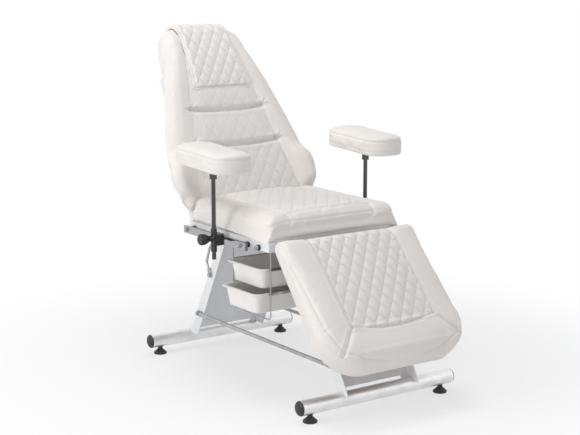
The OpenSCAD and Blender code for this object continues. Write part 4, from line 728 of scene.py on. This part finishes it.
def back():
    """Tall back: quilted middle in three rolls, and wings that wrap forward at the foot."""
    o = stuffed("back_pad", "back_cushion", 0.0055, 0.006,
                lambda v: ease((BACK.into(v)[:, 2] + 0.024) / 0.02), back_cut)
    v, n = coords(o.data), read(o.data, "normal")
    q, m = BACK.into(v), BACK.into(v + n) - BACK.into(v)
    x, s, t = q.T
    side = np.abs(x)
    front = ease((m[:, 2] - 0.3) / 0.3)
    p = back_panel(s)
    inside = ease((p - side) / 0.004) * front * ease((s - QUILT_LOW) / 0.01) \
        * ease((QUILT_HIGH - s) / 0.02)
    deep = 0.35 + 0.65 * ease((0.25 - s) / 0.02)
    lift = 0.0026 * pillow(x, s - BACK_FIRST_CELL, *CELL) * inside * deep
    lift += 0.0030 * trench(np.abs(side - p), 0.0040) * front * ease((0.70 - s) / 0.05) \
        * (1 - 0.75 * ease((s - 0.28) / 0.03) * ease((0.47 - s) / 0.03))
    for at, to in zip(CHANNELS, (0.019, 0.014)):
        arc = at - 0.006 + 0.012 * (side / p) ** 2
        over = 1 - ease((side - p - 0.004) / to)
        lift += 0.0075 * trench(np.abs(s - arc), 0.0050) * front * over
        # Gathers fan out from the ends of each channel
        dx, ds = side - p - 0.004, s - arc - 0.006
        spread = np.hypot(dx, ds)
        fan = np.arctan2(ds, dx)
        lift += 0.0024 * np.cos(fan * 7.0) * np.exp(-(spread / 0.020) ** 2) \
            * ease(spread / 0.008) * front
    for lo, hi in (CHANNELS, (CHANNELS[1], ROLLS_END)):
        k = np.clip((s - lo) / (hi - lo), 0, 1)
        lift += 0.006 * np.sin(np.pi * k) ** 0.7 * ease((p - side) / 0.05) * front
    # A seam runs down the middle of each side
    low = BACK_REAR + wing_rear(s) + back_bend(s, 0.5)
    edge = np.abs(t - lerp(low, BACK_FACE - 0.014, 0.4))
    lift += 0.0018 * trench(edge, 0.0028) * ease((0.55 - m[:, 2]) / 0.3) \
        * ease((np.abs(m[:, 0]) - 0.5) / 0.2)
    put(o.data, v + n * lift[:, None])
    taper = (PANEL_FOOT - PANEL_HEAD) / (SHOULDER - BACK_FOOT)
    quilting = material("back quilting", quilted(
        BACK_HINGE, BACK_ANGLE, *CELL,
        lambda y, x: PANEL_FOOT - (y - BACK_FOOT) * taper - x.abs(),
        lambda y, x: (y - QUILT_LOW).smaller(QUILT_HIGH - y),
        start=BACK_FIRST_CELL, line=0.026), **HIDE)
    finish_piece(o, "back_cushion", "back", quilting)


HEAD_LOW, PLAIN_HEAD_LOW = 0.468, 0.479
HEAD_HALF_LOW, HEAD_HALF_TOP = 0.119, 0.106
HEAD_CAP = 0.037                                # radius of the turn over the top
HEAD_CELL, HEAD_FIRST_CELL = (0.044, 0.0644), 0.575


def head_cut(v):
    """The flap follows the swept top and reaches a little lower."""
    x, s, t = BACK.into(v).T
    long = np.where(s > PLAIN_SHOULDER, stretched_top(s),
                    PLAIN_SHOULDER - (PLAIN_SHOULDER - s) * (PLAIN_SHOULDER - HEAD_LOW)
                    / (PLAIN_SHOULDER - PLAIN_HEAD_LOW))
    top, full = both_faces(x, s, x, long, plain_back_half(s), back_half(long))
    near = span(t, BACK_REAR, BACK_FACE)
    t = t + near * np.where(s < 0.69, full - top, 0) + 0.0006 * near
    return BACK.out(np.stack([x, long, t + back_bend(long, near)], 1))


def head():
    """Quilted flap over the top of the back, hemmed all round with piping."""
    o = stuffed("head_flap", "head_pad", 0.004, 0.002, lambda v: np.ones(len(v)), head_cut)
    v, n = coords(o.data), read(o.data, "normal")
    q, m = BACK.into(v), BACK.into(v + n) - BACK.into(v)
    x, s, t = q.T
    turn = BACK_TOP - HEAD_CAP
    bend = back_bend(s, 0.6)
    around = np.where(s < turn, s, turn + HEAD_CAP * np.arctan2(s - turn, t - bend + 0.001))
    outer = ease((np.where(s < turn, m[:, 2], 1.0) - 0.3) / 0.3)
    half = lerp(HEAD_HALF_LOW, HEAD_HALF_TOP, span(s, HEAD_LOW, turn))
    rim = np.minimum(half - np.abs(x), np.where(t - bend > 0, s - HEAD_LOW, 1))
    inside = ease((rim - 0.012) / 0.005) * outer
    lift = (0.0040 * pillow(x, around - HEAD_FIRST_CELL, *HEAD_CELL) - 0.001) * inside
    lift += 0.0026 * trench(np.abs(rim - 0.010), 0.0024) * outer
    lift += 0.0022 * np.exp(-((rim - 0.004) / 0.004) ** 2) * outer
    put(o.data, v + n * lift[:, None])
    quilting = material("head pad quilting", quilted(
        BACK_HINGE, BACK_ANGLE, *HEAD_CELL,
        lambda y, x: 0.108 - (y - HEAD_LOW) * 0.047 - x.abs(),
        lambda y, x: (y - HEAD_LOW - 0.010).smaller(0.735 - y),
        start=HEAD_FIRST_CELL), **HIDE)
    finish_piece(o, "head_pad", "back", quilting)


def back_board():
    """Plywood behind the upholstery, drawn in with it towards the top."""
    bm = bmesh.new()
    bmesh.ops.create_grid(bm, x_segments=1, y_segments=12, size=1.0)
    for v in bm.verts:
        s = lerp(BOARD_LOW, BOARD_HIGH, (v.co.y + 1) / 2)
        v.co = (v.co.x * float(board_half(s)), s, BOARD_REAR)
    shell = bmesh.ops.extrude_face_region(bm, geom=bm.faces[:])["geom"]
    bmesh.ops.translate(bm, vec=(0, 0, BOARD_THICK),
                        verts=[g for g in shell if isinstance(g, bmesh.types.BMVert)])
    bmesh.ops.recalc_face_normals(bm, faces=bm.faces)
    corners = [e for e in bm.edges if e.calc_face_angle() > 1.0]
    bmesh.ops.bevel(bm, geom=corners, offset=0.001, affect="EDGES", segments=2,
                    profile=0.5, material=-1)
    o = bpy.data.objects.new("back_board_ply", bpy.data.meshes.new("back_board_ply"))
    bm.to_mesh(o.data)
    bm.free()
    put(o.data, BACK.out(coords(o.data)))
    scene.collection.objects.link(o)
    o.data.materials.append(finish["ply"])
    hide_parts("back_board")
    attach(o, "back")


# The arm pads
PAD_LOW = 0.7293                                # underside of the left one
PAD_HIGH, PLAIN_PAD_HIGH = 0.050, 0.046
PAD_SEAMS = ((0.0407, 0.0026), (0.0047, 0.0016))        # height over it, and depth


def arm(side, raised, turn):
    """Smooth pad, raised over the left one's height, its length turned by some degrees."""
    middle = [(a + b) / 2 for a, b in zip(*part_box(f"{side}_post"))]
    c, d = math.cos(math.radians(turn)), math.sin(math.radians(turn))
    low = PAD_LOW + raised

    def arm_cut(v):
        # The nose is drawn back towards the post, and the side hangs round the plate
        x, y, z = v[:, 0] - middle[0], v[:, 1] - middle[1], v[:, 2]
        along = d * x + c * y
        back = 0.017 * span(along, 0.040, -0.062) - 0.008 * span(along, 0.16, 0.25)
        out = np.hypot(c * x - d * y - 0.036, (along - 0.032) * 0.62)
        hang = 0.009 * ease(span(out, 0.056, 0.064)) * span(z, low + 0.03, low)
        return np.stack([v[:, 0] + d * back, v[:, 1] + c * back,
                         low + (z - low) * PAD_HIGH / PLAIN_PAD_HIGH - hang], 1)

    o = stuffed(f"{side}_arm_rest", f"{side}_arm_pad", 0.0045, 0.004,
                lambda v: ease((v[:, 2] - low - 0.0027) / 0.008), arm_cut)
    v, n = coords(o.data), read(o.data, "normal")
    wall = ease((0.80 - np.abs(n[:, 2])) / 0.3)
    lift = sum(deep * trench(np.abs(v[:, 2] - low - at), 0.0026)
               for at, deep in PAD_SEAMS) * wall
    put(o.data, v + n * lift[:, None])
    finish_piece(o, f"{side}_arm_pad", f"{side}_pad", finish["hide"])


leg_rest()
seat()
back()
head()
back_board()
arm("left", raised=0.0, turn=8)
arm("right", raised=0.012, turn=12)


# ---------------------------------------------------------------- camera and lamps
def aimed(name, data, at, way):
    """An object that looks from at along way."""
    o = bpy.data.objects.new(name, data)
    scene.collection.objects.link(o)
    o.matrix_world = Matrix.Translation(at) \
        @ Vector(way).to_track_quat("-Z", "Y").to_matrix().to_4x4()
    return o


def lamp(name, at, aim, size, power, tint=(1, 1, 1)):
    light = bpy.data.lights.new(name, "AREA")
    light.shape, light.size, light.energy, light.color = "DISK", size, power, tint
    aimed(name, light, at, Vector(aim) - Vector(at))


cam = bpy.data.cameras.new("camera")
cam.lens, cam.sensor_width, cam.sensor_fit = LENS, SENSOR, "HORIZONTAL"
cam.clip_end = 60.0
scene.camera = aimed("camera", cam, EYE, LOOK)

lamp("key", (-3.6, 0.2, 1.9), (0, 0, 0.5), 2.0, 52, (1.0, 0.99, 0.975))
lamp("low", (-2.5, -2.9, 1.0), (0, 0, 0.4), 1.2, 9, (1.0, 0.99, 0.98))
lamp("fill", (1.8, -3.2, 2.3), (0, 0, 0.6), 2.4, 7, (0.98, 0.99, 1.0))
lamp("top", (-0.3, 0.2, 4.0), (0, 0, 0.6), 1.6, 42)


# ---------------------------------------------------------------- floor and world
def seen():
    """1 where the eye, a reflection or clear plastic looks, 0 for light that only fills."""
    rays = Wire.tree.nodes.new("ShaderNodeLightPath")
    eye, gloss, clear = (Wire(rays.outputs[f"Is {k} Ray"])
                         for k in ("Camera", "Glossy", "Transmission"))
    return eye.larger(gloss).larger(clear)


bm = bmesh.new()
bmesh.ops.create_grid(bm, x_segments=2, y_segments=2, size=14.0)
floor = bpy.data.objects.new("floor", bpy.data.meshes.new("floor"))
bm.to_mesh(floor.data)
bm.free()
scene.collection.objects.link(floor)

# The floor keeps soft shadows near the chair and fades to white round it
studio = bpy.data.materials.new("studio floor")
start_tree(studio)
x, y, _ = parts(place())
away = ((x - 0.1) ** 2.0 + (y - 0.1) ** 2.0) ** 0.5
far = 0.56 + away.step(0.5, 1.6) * 0.44
sweep = Wire.node("ShaderNodeBsdfDiffuse", Color=(0.9, 0.9, 0.905, 1))
glow = Wire.node("ShaderNodeEmission", Color=(1, 1, 1, 1), Strength=1.0)
end_tree("ShaderNodeOutputMaterial",
         Wire.node("ShaderNodeMixShader", i0=far * seen(), i1=sweep, i2=glow))
floor.data.materials.append(studio)

scene.world = bpy.data.worlds.new("studio")
start_tree(scene.world)
soft = Wire.node("ShaderNodeBackground", Color=(0.97, 0.985, 1.0, 1), Strength=0.5)
white = Wire.node("ShaderNodeBackground", Color=(1, 1, 1, 1), Strength=1.0)
end_tree("ShaderNodeOutputWorld",
         Wire.node("ShaderNodeMixShader", i0=seen(), i1=soft, i2=white))
